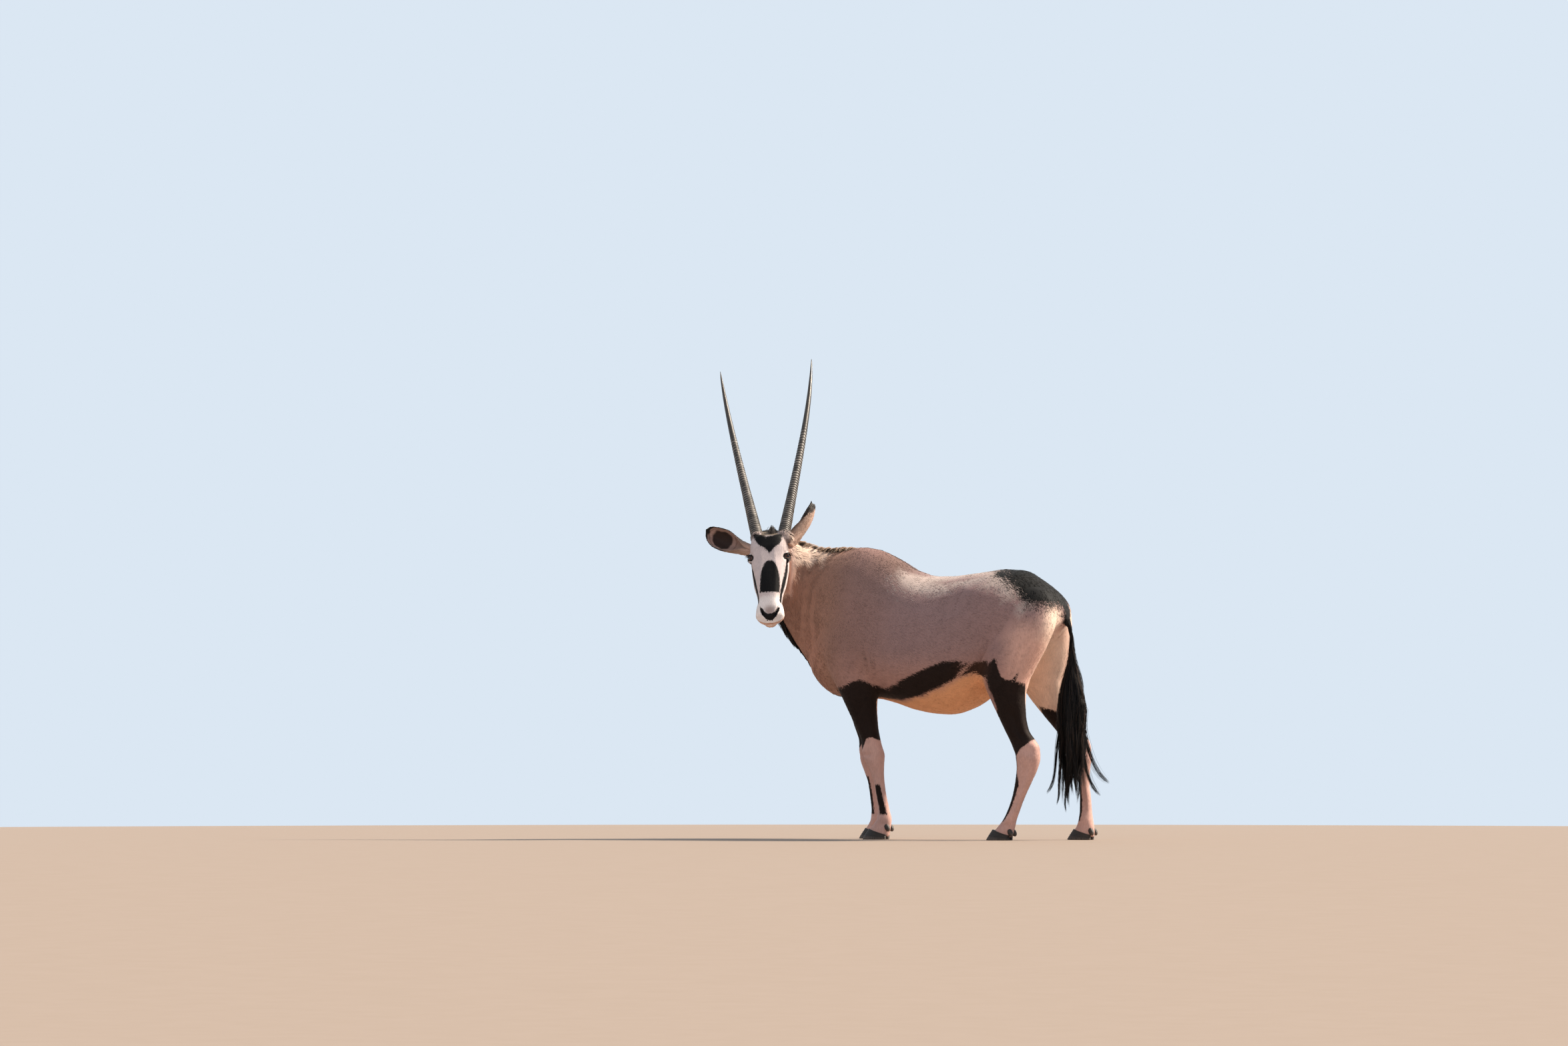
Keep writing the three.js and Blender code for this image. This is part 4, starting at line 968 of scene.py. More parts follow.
def add(tree, kind, settings=None, **links):
    """Adds a node. settings go onto the node by name, and links join sockets: a
    socket, or a plain value for one. Spaces in socket names are written as underscores."""
    node = tree.nodes.new("ShaderNode" + kind)
    for key, value in (settings or {}).items():
        setattr(node, key, value)
    for key, value in links.items():
        target = node.inputs[int(key[1:])] if key[0] == "i" and key[1:].isdigit() else node.inputs[key.replace("_", " ")]
        if isinstance(value, bpy.types.NodeSocket):
            tree.links.new(value, target)
        else:
            target.default_value = value
    return node


def finish_material(tree, shader):
    """Joins a shader to the output."""
    output = tree.nodes.new("ShaderNodeOutputMaterial")
    tree.links.new(shader.outputs[0], output.inputs["Surface"])


# %% [markdown]
# ## Coat: short hair of keratin
# A hair is a dull, slightly translucent rod of keratin, index 1.55. Thousands of them side by side
# read as a rough surface with a soft sheen across the lie. Real hairs are 0.05 mm thick, far too fine
# to show, so the streaks here are drawn 2.5 mm wide and 22 mm long. They run back along the trunk and
# down the neck, thighs and legs, as the hair does. Under the tufts the same material covers the skin.

# %% Coat material
def coat_material():
    """Short hair: the ground colour and the black, parted at the marks' edge with a ragged line."""
    material, tree = new_material("short hair")
    place = add(tree, "TexCoord").outputs["Object"]
    tone = add(tree, "Attribute", {"attribute_name": "Ground"}).outputs["Color"]
    dark = add(tree, "Attribute", {"attribute_name": "Dark"}).outputs["Color"]
    mark = add(tree, "Attribute", {"attribute_name": "Black"}).outputs["Fac"]
    shade = add(tree, "Attribute", {"attribute_name": "Shade"}).outputs["Fac"]
    bare = add(tree, "Attribute", {"attribute_name": "Bare"}).outputs["Fac"]
    hanging = add(tree, "Attribute", {"attribute_name": "Hanging"}).outputs["Fac"]
    turned_place = {"vector_type": "TEXTURE"}
    level = add(tree, "Mapping", turned_place, i0=place, Rotation=(0.0, 0.42, 0.0), Scale=(0.022, 0.0026, 0.0026))
    upright = add(tree, "Mapping", turned_place, i0=place, Scale=(0.0024, 0.0024, 0.02))
    level = add(tree, "TexNoise", None, Vector=level.outputs[0], Scale=1.0, Detail=3.0).outputs["Fac"]
    upright = add(tree, "TexNoise", None, Vector=upright.outputs[0], Scale=1.0, Detail=3.0).outputs["Fac"]
    streaks = add(tree, "Mix", None, i0=hanging, i2=level, i3=upright).outputs[0]
    blotch = add(tree, "TexNoise", None, Vector=place, Scale=22.0, Detail=4.0).outputs["Fac"]
    ragged = add(tree, "MapRange", None, Value=streaks, From_Min=0.3, From_Max=0.7, To_Min=-0.004, To_Max=0.004)
    edge = add(tree, "Math", {"operation": "ADD"}, i0=mark, i1=ragged.outputs[0]).outputs[0]
    black = add(tree, "MapRange", {"interpolation_type": "SMOOTHSTEP"}, Value=edge, From_Min=-0.002, From_Max=0.002)
    colour = add(tree, "Mix", {"data_type": "RGBA"}, i0=black.outputs[0], i6=tone, i7=dark).outputs[2]
    light = add(tree, "MapRange", None, Value=shade, From_Min=-1.0, From_Max=1.0, To_Min=0.66, To_Max=1.34).outputs[0]
    for noise, least, most in ((streaks, 0.9, 1.1), (blotch, 0.95, 1.05)):
        spread = add(tree, "MapRange", None, Value=noise, From_Min=0.32, From_Max=0.68, To_Min=least, To_Max=most).outputs[0]
        light = add(tree, "Math", {"operation": "MULTIPLY"}, i0=light, i1=spread).outputs[0]
    colour = add(tree, "VectorMath", {"operation": "SCALE"}, i0=colour, Scale=light).outputs[0]
    rough = add(tree, "MapRange", None, Value=bare, To_Min=0.66, To_Max=0.32).outputs[0]
    bump_scale = add(tree, "MapRange", None, Value=bare, To_Min=0.4, To_Max=0.08).outputs[0]
    bump = add(tree, "Bump", None, Strength=bump_scale, Distance=0.002, Height=streaks).outputs[0]
    shader = add(
        tree, "BsdfPrincipled", None, Base_Color=colour, Roughness=rough, IOR=1.55, Normal=bump,
        Specular_IOR_Level=0.14, Sheen_Weight=0.04, Sheen_Roughness=0.5,
    )
    finish_material(tree, shader)
    return material


SHORT_HAIR = coat_material()


def paint(mesh, name, kind, values):
    """Keeps a value or a colour for each vertex of a mesh."""
    attribute = mesh.attributes.new(name, kind, "POINT")
    if kind == "FLOAT_COLOR":
        attribute.data.foreach_set("color", np.c_[values, np.ones(len(values))].astype(np.float32).ravel())
    else:
        attribute.data.foreach_set("value", np.asarray(values, np.float32))


def nose_skin(points):
    """1 on the bare moist skin between the nostrils, 0 on hair."""
    h = in_head(points)
    return step(-3, 3, inside(h[:, 0], h[:, 1], NOSE_PAD)) * (h[:, 2] > -82) * (head_share(points) > 0.5)


def hanging_at(points):
    """1 where the hair hangs down, 0 where it lies back along the trunk."""
    x, y, z = points.T
    return np.maximum.reduce([step(640, 520, z), step(-300, -430, x), step(380, 480, x) * step(1060, 960, z)])


def paint_coat(mesh, points, shade):
    """Gives a mesh the marks and colours that belong at given points of the skin."""
    paint(mesh, "Ground", "FLOAT_COLOR", ground_of(points))
    paint(mesh, "Dark", "FLOAT_COLOR", dark_of(points))
    paint(mesh, "Black", "FLOAT", np.clip(black_of(points), -40, 40) / 1000)
    paint(mesh, "Bare", "FLOAT", nose_skin(points))
    paint(mesh, "Hanging", "FLOAT", hanging_at(points))
    paint(mesh, "Shade", "FLOAT", shade)


FLESH_NODES = ["torso", "neck", "head", "tail_dock"] + [foot[0] for foot in FEET]
skin_points = body_points(skin.data)
skin_triangles = triangles_of(skin.data)
skin_normals = normals_of(skin_points, skin_triangles)
paint_coat(skin.data, skin_points, np.full(len(skin_points), -0.04))
skin.data.materials.append(SHORT_HAIR)
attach(skin, "root")
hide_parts(*FLESH_NODES)
print("skin painted,", int((black_of(skin_points) > 0).sum()), "black points")

# %% [markdown]
# ## Hair as mesh
# A tuft is many hairs that lie together, so one thin closed form stands for it: three sides, flat
# towards the skin, with a ridge outside and a point at its tip. Ten triangles are enough for a short
# one. Particle hair would look alike here, but it isn't geometry and can't leave Blender.

# %% Strands
def strands(paths, wide, thick, out, soft):
    """Closed three-sided hairs along paths of k points each. The width follows
    (1 - s^2)^0.7 (0.75 + 0.5 s) from root to tip, and out says which way the ridge faces. The normals
    lean towards out by soft, because light falls on a sleek coat as it does on the body below."""
    count, k = paths.shape[:2]
    way = unit(np.gradient(paths, axis=1))
    side = unit(np.cross(way, out))
    up = np.cross(side, way)
    s = np.linspace(0, 1, k)[:-1]
    girth = ((1 - s * s) ** 0.7 * (0.75 + 0.5 * s))[None, :, None]
    half = np.reshape(wide, (-1, 1, 1)) / 2 * girth
    tall = np.reshape(thick, (-1, 1, 1)) * girth
    line = paths[:, :-1]
    corners = np.stack([line - side[:, :-1] * half, line + side[:, :-1] * half, line + up[:, :-1] * tall], 2)
    facing = np.stack([up - 0.9 * side, up + 0.9 * side, up], 2)[:, :-1].reshape(count, -1, 3)
    facing = unit(np.concatenate([facing, up[:, -1:]], 1) + soft * np.broadcast_to(out, (count, 1, 3)))
    points = np.concatenate([corners.reshape(count, -1, 3), paths[:, -1:]], 1).reshape(-1, 3)
    each, last = 3 * (k - 1) + 1, 3 * (k - 2)
    faces = [(0, 1, 2)]
    for a, b in ((0, 1), (1, 2), (2, 0)):
        for ring in range(0, last, 3):
            faces += [(b + ring, a + ring, a + ring + 3), (b + ring, a + ring + 3, b + ring + 3)]
        faces.append((b + last, a + last, each - 1))
    faces = (np.array(faces) + each * np.arange(count)[:, None, None]).reshape(-1, 3)
    return points, faces, facing.reshape(-1, 3)


def bake_map(mesh, places, k):
    """The UV map OFBake: each strand is a patch 0.003 across at its root's place on the skin's unwrap."""
    share = np.append(np.repeat(np.linspace(0, 1, k)[:-1], 3), 1)
    corner = np.append(np.tile([0, 1, 0.5], k - 1), 0.5)
    patch = 0.003 * (np.stack([share, corner], 1) - 0.5)
    flat = (places[:, None] + patch[None]).reshape(-1, 2)
    loops = indices(mesh.loops, "vertex_index", 1)[:, 0]
    mesh.uv_layers.new(name="OFBake").data.foreach_set("uv", flat[loops].astype(np.float32).ravel())


def hair_piece(name, paths, wide, thick, out, places, colours, soft=0.3):
    """An object of strands. colours gives Ground, Dark, Black, Bare and Shade for each strand, and
    the shade rises by a fixed step from root to tip."""
    k = paths.shape[1]
    points, faces, facing = strands(paths, wide, thick, out, soft)
    piece = make_piece(name, points, faces)
    piece.data.normals_split_custom_set_from_vertices(facing)
    bake_map(piece.data, places, k)
    each = 3 * (k - 1) + 1
    ground, dark, black, bare, shade, lighter = colours
    paint(piece.data, "Hanging", "FLOAT", np.repeat(hanging_at(paths[:, 0]), each))
    share = np.append(np.repeat(np.linspace(0, 1, k)[:-1], 3), 1)
    paint(piece.data, "Ground", "FLOAT_COLOR", np.repeat(ground, each, 0))
    paint(piece.data, "Dark", "FLOAT_COLOR", np.repeat(dark, each, 0))
    paint(piece.data, "Black", "FLOAT", np.repeat(np.clip(black, -40, 40) / 1000, each))
    paint(piece.data, "Bare", "FLOAT", np.repeat(bare, each))
    paint(piece.data, "Shade", "FLOAT", (np.reshape(shade, (-1, 1)) + lighter * (share - 0.4)).ravel())
    piece.data.materials.append(SHORT_HAIR)
    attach(piece, "root")
    print(name, len(paths), "strands,", len(faces), "triangles")
    return piece


# %% [markdown]
# ## The lie of the coat
# Hair lies the way water runs off an animal that walks: back along the trunk, down the shoulders,
# thighs and legs, from the head to the body on the neck, and towards the muzzle on the face. Slow
# waves turn it a little, as on a real coat that isn't combed.

# %% Where tufts grow and how they lie
def scatter(chance, count, seed):
    """Random places on the skin and the way out there: triangles are drawn by area times a chance."""
    random = np.random.default_rng(seed)
    a, b, c = skin_points[skin_triangles].transpose(1, 0, 2)
    weight = np.linalg.norm(np.cross(b - a, c - a), axis=1) * chance
    chosen = random.choice(len(weight), count, p=weight / weight.sum())
    u, v = random.random((2, count))
    u, v = np.where(u + v > 1, 1 - u, u), np.where(u + v > 1, 1 - v, v)
    mix = np.stack([1 - u - v, u, v], 1)[..., None]
    corners = skin_triangles[chosen]
    return (skin_points[corners] * mix).sum(1), unit((skin_normals[corners] * mix).sum(1)), random


def mixed(way, weight, target):
    """Directions turned towards a target by a weight."""
    return unit(way + column(weight) * (unit(np.asarray(target, float)) - way))


def lie_of(points, normals, station, on_face):
    """The way the hair lies at points of the skin."""
    x, y, z = points.T
    way = unit(np.tile([1.0, 0.0, -0.45], (len(points), 1)))
    way = mixed(way, step(-180, -400, x), [0.45, 0, -1])
    way = mixed(way, step(360, 520, x) * step(1080, 940, z), [0.3, 0, -1])
    way = mixed(way, step(620, 500, z), [0.12, 0, -1])
    nape, throat, _, _ = neck_frame(station)
    body_nape, body_throat, _, _ = neck_frame(np.maximum(station - 0.5, 0))
    along_neck = unit(0.5 * (body_nape + body_throat - nape - throat) + [1e-3, 0, 0])
    way = mixed(way, step(-430, -520, x) * step(0.4, 1.2, station), along_neck + [0, 0, -0.3])
    aside = np.sign(in_head(points)[:, 1:2]) * HEAD_AXES[1] * 0.35
    way = mixed(way, on_face, HEAD_AXES[0] + aside - 0.1 * HEAD_AXES[2])
    way = unit(way - normals * (way * normals).sum(1, keepdims=True))
    lean = 0.4 * drift(points, 70, 3) * (1 - 0.7 * on_face)
    return unit(way + np.cross(normals, way) * column(lean))


def length_of(points, station, on_face):
    """The length of the coat in millimetres: longest on the neck, shortest on the legs and face."""
    x, y, z = points.T
    long = 12 + 3 * step(-400, -520, x) + 12 * step(-430, -540, x) * step(1100, 1190, z)
    long = long + 4 * step(330, 420, x) * step(930, 1010, z)
    long = long - 4 * step(580, 440, z) - 1.5 * step(160, 80, z)
    h = in_head(points)
    face = 6.5 - 2.5 * step(60, 330, h[:, 0]) + 7 * step(20, -20, h[:, 0])
    return long + on_face * (face - long)


# %% [markdown]
# ## The coat
# Each region gets its own object, because no mesh may be too large, and its own unwrap: how far along
# the region, and the angle round its middle line.

# %% Regions of the coat
middles = skin_points[skin_triangles].mean(1)
lined = neck_place(middles)
on_head_now = head_share(middles) > 0.5
on_legs = []
for foot in FEET:
    belongs = leg_place(middles, foot)[2]
    on_legs.append(belongs & (middles[:, 2] < foot[3] - 20) & (middles[:, 1] * foot[2] > 0))
on_leg_now = np.any(on_legs, axis=0)
on_neck_now = (lined[0] > 0.6) & (middles[:, 0] < -470) & ~on_head_now & ~on_leg_now
on_trunk_now = ~(on_head_now | on_leg_now | on_neck_now)


def round_place(along_share, angle, first, last):
    """A place on an unwrap: the share along a region, and the angle in a band from first to last."""
    turn = (angle / (2 * np.pi)) % 1
    return np.stack([0.01 + 0.98 * np.clip(along_share, 0, 1), first + (last - first) * (0.01 + 0.98 * turn)], 1)


def trunk_unwrap(points):
    return round_place((points[:, 0] + 600) / 1260, np.arctan2(points[:, 1], points[:, 2] - 800), 0, 1)


def neck_unwrap(points):
    station, aside, share = neck_place(points)
    return round_place(station / 6, np.arctan2(aside, (share - 0.45) * 400), 0, 1)


def head_unwrap(points):
    h = in_head(points)
    return round_place((h[:, 0] + 60) / 460, np.arctan2(h[:, 1], h[:, 2] + 75), 0, 1)


def leg_unwrap(points):
    share, out, _ = leg_place(points, FEET[0])
    x, y, z = points.T
    first = np.where(y < 0, 0.0, 0.5)
    side_front = np.where(y < 0, 0, 1)
    middle = np.empty(len(points))
    for table, ahead in ((FORELEG, x < 60), (HIND_LEG, x >= 60)):
        left = (along(table, 1, z) + along(table, 2, z)) / 2
        right = (along(table, 3, z) + along(table, 4, z)) / 2
        middle = np.where(ahead, np.where(side_front == 0, left, right), middle)
    angle = np.arctan2(np.abs(y) - 125, x - middle)
    place = round_place(z / 760, angle, 0, 0.5)
    return place + np.stack([0 * first, first], 1)


def coat(name, chance, count, seed, unwrap):
    """Tufts of short hair over one region of the skin, which carry its marks and colours."""
    roots, normals, random = scatter(chance, count, seed)
    station = neck_place(roots)[0]
    on_face = head_share(roots)
    long = length_of(roots, station, on_face) * random.uniform(0.7, 1.25, count)
    way = lie_of(roots, normals, station, on_face)
    way = unit(way + np.cross(normals, way) * column(0.2 * random.normal(size=count)))
    ruffled = step(-450, -540, roots[:, 0]) * step(1090, 1180, roots[:, 2]) * (1 - on_face)
    lift = 0.05 + 0.03 * random.random(count) + 0.16 * ruffled * (1 + drift(roots, 35, 8))
    share = np.array([0, 0.5, 1.0])
    rise = np.array([0, 0.62, 0.9])
    sunk = np.array([0.7, 0.15, 0.0])
    paths = roots[:, None] + way[:, None] * (column(long) * share)[..., None]
    paths = paths + normals[:, None] * (column(long * lift) * rise - sunk)[..., None]
    black = black_of(roots) + random.normal(0, 1.2, count)
    shade = (0.07 - 0.01 * on_face + 0.1 * ruffled) * random.normal(size=count) + 0.05 * drift(roots, 30, 12)
    colours = (ground_of(roots), dark_of(roots), black, nose_skin(roots), shade, 0.12)
    return hair_piece(name, paths, 0.12 * long + 0.5, 0.02 * long + 0.2, normals[:, None], unwrap(roots), colours, soft=2.5)


SHARE = 1.0
bare_now = nose_skin(middles) > 0.3
eye_near = np.maximum(near(middles, eye_frame(1)[0], 24), near(middles, eye_frame(-1)[0], 24))
coat("coat_left_side", on_trunk_now & (middles[:, 1] < 0), int(19600 * SHARE), 21, trunk_unwrap)
coat("coat_right_side", on_trunk_now & (middles[:, 1] >= 0), int(15000 * SHARE), 22, trunk_unwrap)
coat("coat_neck", on_neck_now, int(19000 * SHARE), 23, neck_unwrap)
coat("coat_head", on_head_now & ~bare_now & (eye_near < 0.45), int(19600 * SHARE), 24, head_unwrap)
coat("coat_forelegs", on_legs[0] | on_legs[1], int(11000 * SHARE), 25, leg_unwrap)
coat("coat_hindlegs", on_legs[2] | on_legs[3], int(14000 * SHARE), 26, leg_unwrap)

# %% [markdown]
# ## Mane, throat fringe and poll
# Longer hair stands in clumps: the hairs of one clump start apart and lean together towards one tip,
# which gives the ragged crest of the neck and the black fringe under the throat.

# %% Clumps of longer hair
def along_curve(controls, k):
    """Paths through control points given as an array (hairs, controls, 3), by smooth weights."""
    controls = np.asarray(controls, float)
    spots = np.linspace(0, 1, controls.shape[1])
    s = np.linspace(0, 1, k)
    paths = np.zeros((len(controls), k, 3))
    lagrange = np.ones((controls.shape[1], k))
    for i, spot in enumerate(spots):
        for other in np.delete(spots, i):
            lagrange[i] *= (s - other) / (spot - other)
    return np.einsum("nci,ck->nki", controls, lagrange)


def long_hair(name, controls, wide, thick, out, places, tone, random, black=-40.0, k=6, lighter=0.5, soft=0.3):
    """Strands of longer hair that follow control points, with one ground colour for each."""
    count = len(controls)
    paths = along_curve(controls, k)
    dark = np.tile(linear("#0c0c0e"), (count, 1))
    shade = 0.22 * random.normal(size=count)
    colours = (tone, dark, np.broadcast_to(black, (count,)), np.zeros(count), shade, lighter)
    return hair_piece(name, paths, wide, thick, out, places, colours, soft=soft)


def mane(random):
    """The ragged crest: clumps along the nape that rise and lean back."""
    count, each = int(300 * SHARE) + 20, 11
    which = np.repeat(np.arange(count), each)
    n = len(which)
    station = random.uniform(0.2, 5.75, count)[which] + random.normal(0, 0.035, n)
    nape, throat, across, _ = neck_frame(np.clip(station, 0, 6))
    behind = unit(neck_frame(np.clip(station - 0.4, -1, 6))[0] - nape + [1e-3, 0, 0])
    up = unit(nape - throat)
    long = (12 + 10 * step(0.8, 2.6, station) - 4 * step(5.0, 5.75, station)) * random.uniform(0.75, 1.3, count)[which]
    long = long * random.uniform(0.8, 1.1, n)
    aside = random.normal(0, 11, count)[which]
    spread = random.normal(0, 4, n)
    rise = (0.35 + 0.5 * random.random(count))[which]
    tilt = random.normal(0, 0.4, count)[which]
    root = nape + across * column(aside + spread) - up * 8
    middle = root + behind * column(0.45 * long) + up * column(8 + 0.5 * rise * long) + across * column(0.1 * long * tilt)
    tip = nape + across * column(aside + 0.25 * spread + long * tilt) + behind * column(long) + up * column(rise * long * 0.8)
    controls = np.stack([root, middle, tip], 1)
    tone = laid_over(np.tile(linear("#b39a87"), (n, 1)), random.random(n) ** 2 * 0.8, "#7f6556")
    place = round_place(np.clip(station, 0, 6) / 6, 0.02 * (aside + spread), 0, 1)
    wide = np.full(n, 2.0)
    return long_hair("mane", controls, wide, 0.5 + 0 * wide, up[:, None], place, tone, random, k=5, soft=2.5)


def throat_fringe(random):
    """Black hair along the throat, longest just behind the chin, that hangs and leans back."""
    count, each = int(150 * SHARE) + 20, 14
    which = np.repeat(np.arange(count), each)
    n = len(which)
    station = random.uniform(0.9, 5.6, count)[which] + random.normal(0, 0.04, n)
    nape, throat, across, _ = neck_frame(np.clip(station, 0, 6))
    down = unit(throat - nape)
    behind = unit(neck_frame(np.clip(station - 0.4, -1, 6))[1] - throat + [1e-3, 0, 0])
    long = 24 + 52 * step(3.3, 4.3, station) * step(5.9, 5.0, station)
    long = long * random.uniform(0.7, 1.15, count)[which] * random.uniform(0.85, 1.1, n)
    aside = random.normal(0, 7, count)[which]
    spread = random.normal(0, 4, n)
    root = throat + across * column(aside + spread) - down * 9
    middle = root + behind * column(0.5 * long) + down * column(9 + 0.12 * long) + across * column(0.3 * spread)
    tip = throat + across * column(aside * 1.3) + behind * column(0.95 * long) + down * column(0.2 * long)
    controls = np.stack([root, middle, tip], 1)
    tone = np.tile(linear("#3a2c26"), (n, 1))
    place = round_place(np.clip(station, 0, 6) / 6, np.pi + 0.02 * (aside + spread), 0, 1)
    black = np.where(random.random(n) < 0.85, 20.0, -40.0)
    return long_hair("throat_fringe", controls, np.full(n, 2.4), np.full(n, 0.7), down[:, None], place, tone, random, black=black, k=5)


def poll_tuft(random):
    """A small peak of grey-black hair between the horns."""
    count = 260
    start = np.stack([random.uniform(-6, 16, count), random.normal(14, 9, count), random.uniform(-26, -6, count)], 1)
    tip = np.stack([start[:, 0] - random.uniform(14, 32, count), start[:, 1] * 0.4 + 9, start[:, 2] + random.uniform(-4, 8, count)], 1)
    middle = (start + tip) / 2 + np.stack([0 * tip[:, 0], start[:, 1] * 0.1, 5 + 0 * tip[:, 0]], 1)
    controls = on_head(np.stack([start, middle, tip], 1))
    tone = laid_over(np.tile(linear("#6f6863"), (count, 1)), random.random(count), "#2a2624")
    place = round_place((start[:, 0] + 60) / 460, 0.02 * start[:, 1], 0, 1)
    black = np.where(random.random(count) < 0.2, 20.0, -40.0)
    out = np.tile(HEAD_AXES[2], (count, 1))[:, None]
    return long_hair("poll_tuft", controls, np.full(count, 2.0), np.full(count, 0.6), out, place, tone, random, black=black)


mane(np.random.default_rng(31))
throat_fringe(np.random.default_rng(32))
poll_tuft(np.random.default_rng(33))

# %% [markdown]
# ## The tail
# The fleshy dock ends above the hock, and everything below is coarse black hair. It hangs in ropes
# of many hairs: each rope has a root on the dock, swells out round it, and comes to a thin tip at its
# own height. One rope swings out to the rear, as the wind has it.

# %% Switch of the tail
# height and half width of the hanging hair: a narrow dock, a full middle and a bundle of ropes below
SWITCH = np.array([
    [100, 34], [200, 42], [300, 52], [383, 58], [455, 62], [557, 64], [640, 52], [700, 36], [760, 20], [820, 15], [880, 13],
], float)


def switch_paths(rope_count, each, random):
    """Control points of the hairs, in ropes. A rope keeps its own share of the switch's half width all
    the way down, its hairs lie loosely round it, and they come together at its tip."""
    which = np.repeat(np.arange(rope_count), each)
    n = len(which)
    turn = random.uniform(0, 2 * np.pi, rope_count)
    ring = random.uniform(0, 1, rope_count) ** 0.6
    root_z = 872 - 370 * random.random(rope_count) ** 0.8
    tip_z = 116 + 360 * random.random(rope_count) ** 0.6 * (0.45 + 0.55 * ring)
    lean = random.normal(0, 13, rope_count)
    waves = random.uniform(0, 2 * np.pi, (rope_count, 2))
    c, s = np.cos(turn)[which], np.sin(turn)[which]
    ring, lean, waves = ring[which], lean[which], waves[which]
    root_z = root_z[which] + random.uniform(-16, 16, n)
    tip_z = np.maximum(tip_z[which] + 34 * np.abs(random.normal(size=n)), 110)
    loose = random.normal(0, 1, (n, 2))

    def at(fall):
        z = root_z + (tip_z - root_z) * fall
        out = ring * (along(SWITCH, 1, z) - 5) * np.minimum(1, 0.35 + 2.2 * fall)
        slack = loose * (5.5 * np.sin(np.pi * min(0.12 + 0.82 * fall, 1)))
        wave = 6.5 * fall ** 0.5 * np.sin(z[:, None] / 27 + waves)
        x = along(DOCK, 1, np.maximum(z, 468)) + c * out + lean * step(380, 200, z) * 1.2 + slack[:, 0] + wave[:, 0]
        return np.stack([x, s * out * 0.76 + slack[:, 1] + wave[:, 1], z], 1)

    return np.stack([at(fall) for fall in (0, 0.12, 0.28, 0.46, 0.64, 0.82, 1.0)], 1)


def stray_ropes(random):
    """Thin ropes that swing out behind, and some that curl forward at their tips."""
    lines = np.array([
        [[646, 10, 600], [664, 22, 500], [676, 34, 420], [690, 52, 350], [704, 74, 300], [722, 98, 262], [746, 120, 236]],
        [[640, 12, 560], [654, 24, 470], [664, 32, 390], [672, 40, 320], [684, 52, 260], [700, 66, 216], [722, 84, 186]],
        [[600, -20, 540], [588, -30, 450], [578, -36, 380], [574, -40, 320], [570, -44, 270], [560, -50, 226], [540, -56, 196]],
        [[604, -10, 520], [596, -20, 430], [590, -26, 360], [592, -30, 300], [588, -36, 240], [590, -40, 190], [580, -44, 150]],
        [[612, 0, 500], [606, -8, 420], [612, -12, 340], [606, -16, 280], [612, -18, 220], [606, -20, 160], [612, -20, 118]],
    ], float)
    each = 46
    which = np.repeat(np.arange(len(lines)), each)
    loose = random.normal(0, 1, (len(which), 1, 3)) * np.array([4.0, 4.0, 14])
    fade = np.array([1.3, 1.2, 1.1, 0.9, 0.7, 0.5, 0.25])[None, :, None]
    return lines[which] + loose * fade


def smooth_paths(controls, k):
    """Paths through control points by cubics whose slopes come from the neighbouring points, for hairs with many bends.
    """
    spots = np.linspace(0, controls.shape[1] - 1, k)
    i = np.minimum(spots.astype(int), controls.shape[1] - 2)
    t = (spots - i)[None, :, None]
    slope = np.gradient(controls, axis=1)
    a, b, da, db = controls[:, i], controls[:, i + 1], slope[:, i], slope[:, i + 1]
    return (1 + 2 * t) * (1 - t) ** 2 * a + t * t * (3 - 2 * t) * b + t * (1 - t) ** 2 * da - t * t * (1 - t) * db


def tail_hair(name, controls, random, k=10):
    """A mesh of long coarse hairs."""
    n = len(controls)
    paths = smooth_paths(controls, k)
    height = paths[:, :, 2].mean(1)
    outward_way = paths.mean(1) - np.stack([along(DOCK, 1, np.maximum(height, 468)), 0 * height, height], 1)
    out = unit(outward_way * [1, 1, 0] + [1e-3, 0, 0])[:, None]
    tone = laid_over(np.tile(linear("#241d1b"), (n, 1)), random.random(n) * 0.6, "#43362f")
    dark = np.tile(linear("#09090b"), (n, 1))
    black = np.where(random.random(n) < 0.82, 20.0, -40.0)
    shade = 0.4 * random.normal(size=n)
    angle = np.arctan2(out[:, 0, 1], out[:, 0, 0])
    places = round_place(1 - controls[:, 0, 2] / 1000, angle, 0, 1)
    colours = (tone, dark, black, np.full(n, 0.7), shade, 0.5)
    wide = random.uniform(1.4, 2.4, n)
    return hair_piece(name, paths, wide, 0.5 * wide, out, places, colours)


tail_random = np.random.default_rng(41)
hairs_each = int(46 * SHARE) + 6
outer_switch = tail_hair("tail_hair_outer", switch_paths(54, hairs_each, tail_random), tail_random)
inner_controls = np.concatenate([switch_paths(50, hairs_each, tail_random), stray_ropes(tail_random)])
inner_switch = tail_hair("tail_hair_inner", inner_controls, tail_random)
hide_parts("tail_switch")
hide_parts("tail_switch")

# %% [markdown]
# ## Horns
# A horn is a sheath of keratin over a core of bone. It grows at its base, faster and slower by turns,
# and leaves rings that stand closest at the skull. They end a little past the middle, and from there
# the sheath is worn smooth to a sharp tip. The rings are real relief, because they show in its outline.

# %% Horn shape
HORNS = {"horn_left": (1, 925.0, 59.0, 116.0, 0.34), "horn_right": (-1, 890.0, 43.0, 170.0, 0.10)}
HORN_SIDES = 32
HORN_GIRTH = np.array([[0, 28], [0.1, 25], [0.3, 19.5], [0.5, 15.5], [0.7, 11.8], [0.85, 8.4], [0.95, 4.6], [1, 1.2]])


def horn_line(name, t):
    """The middle line of a horn: it leans out and back and straightens towards the tip."""
    side, long, root, spread, bow = HORNS[name]
    out = root + spread * (t + bow * (t - t ** 4))
    return on_head(np.stack([22 - (long - 22) * t, side * out, -40 - 125 * (0.72 * t + 0.28 * t * t)], -1))


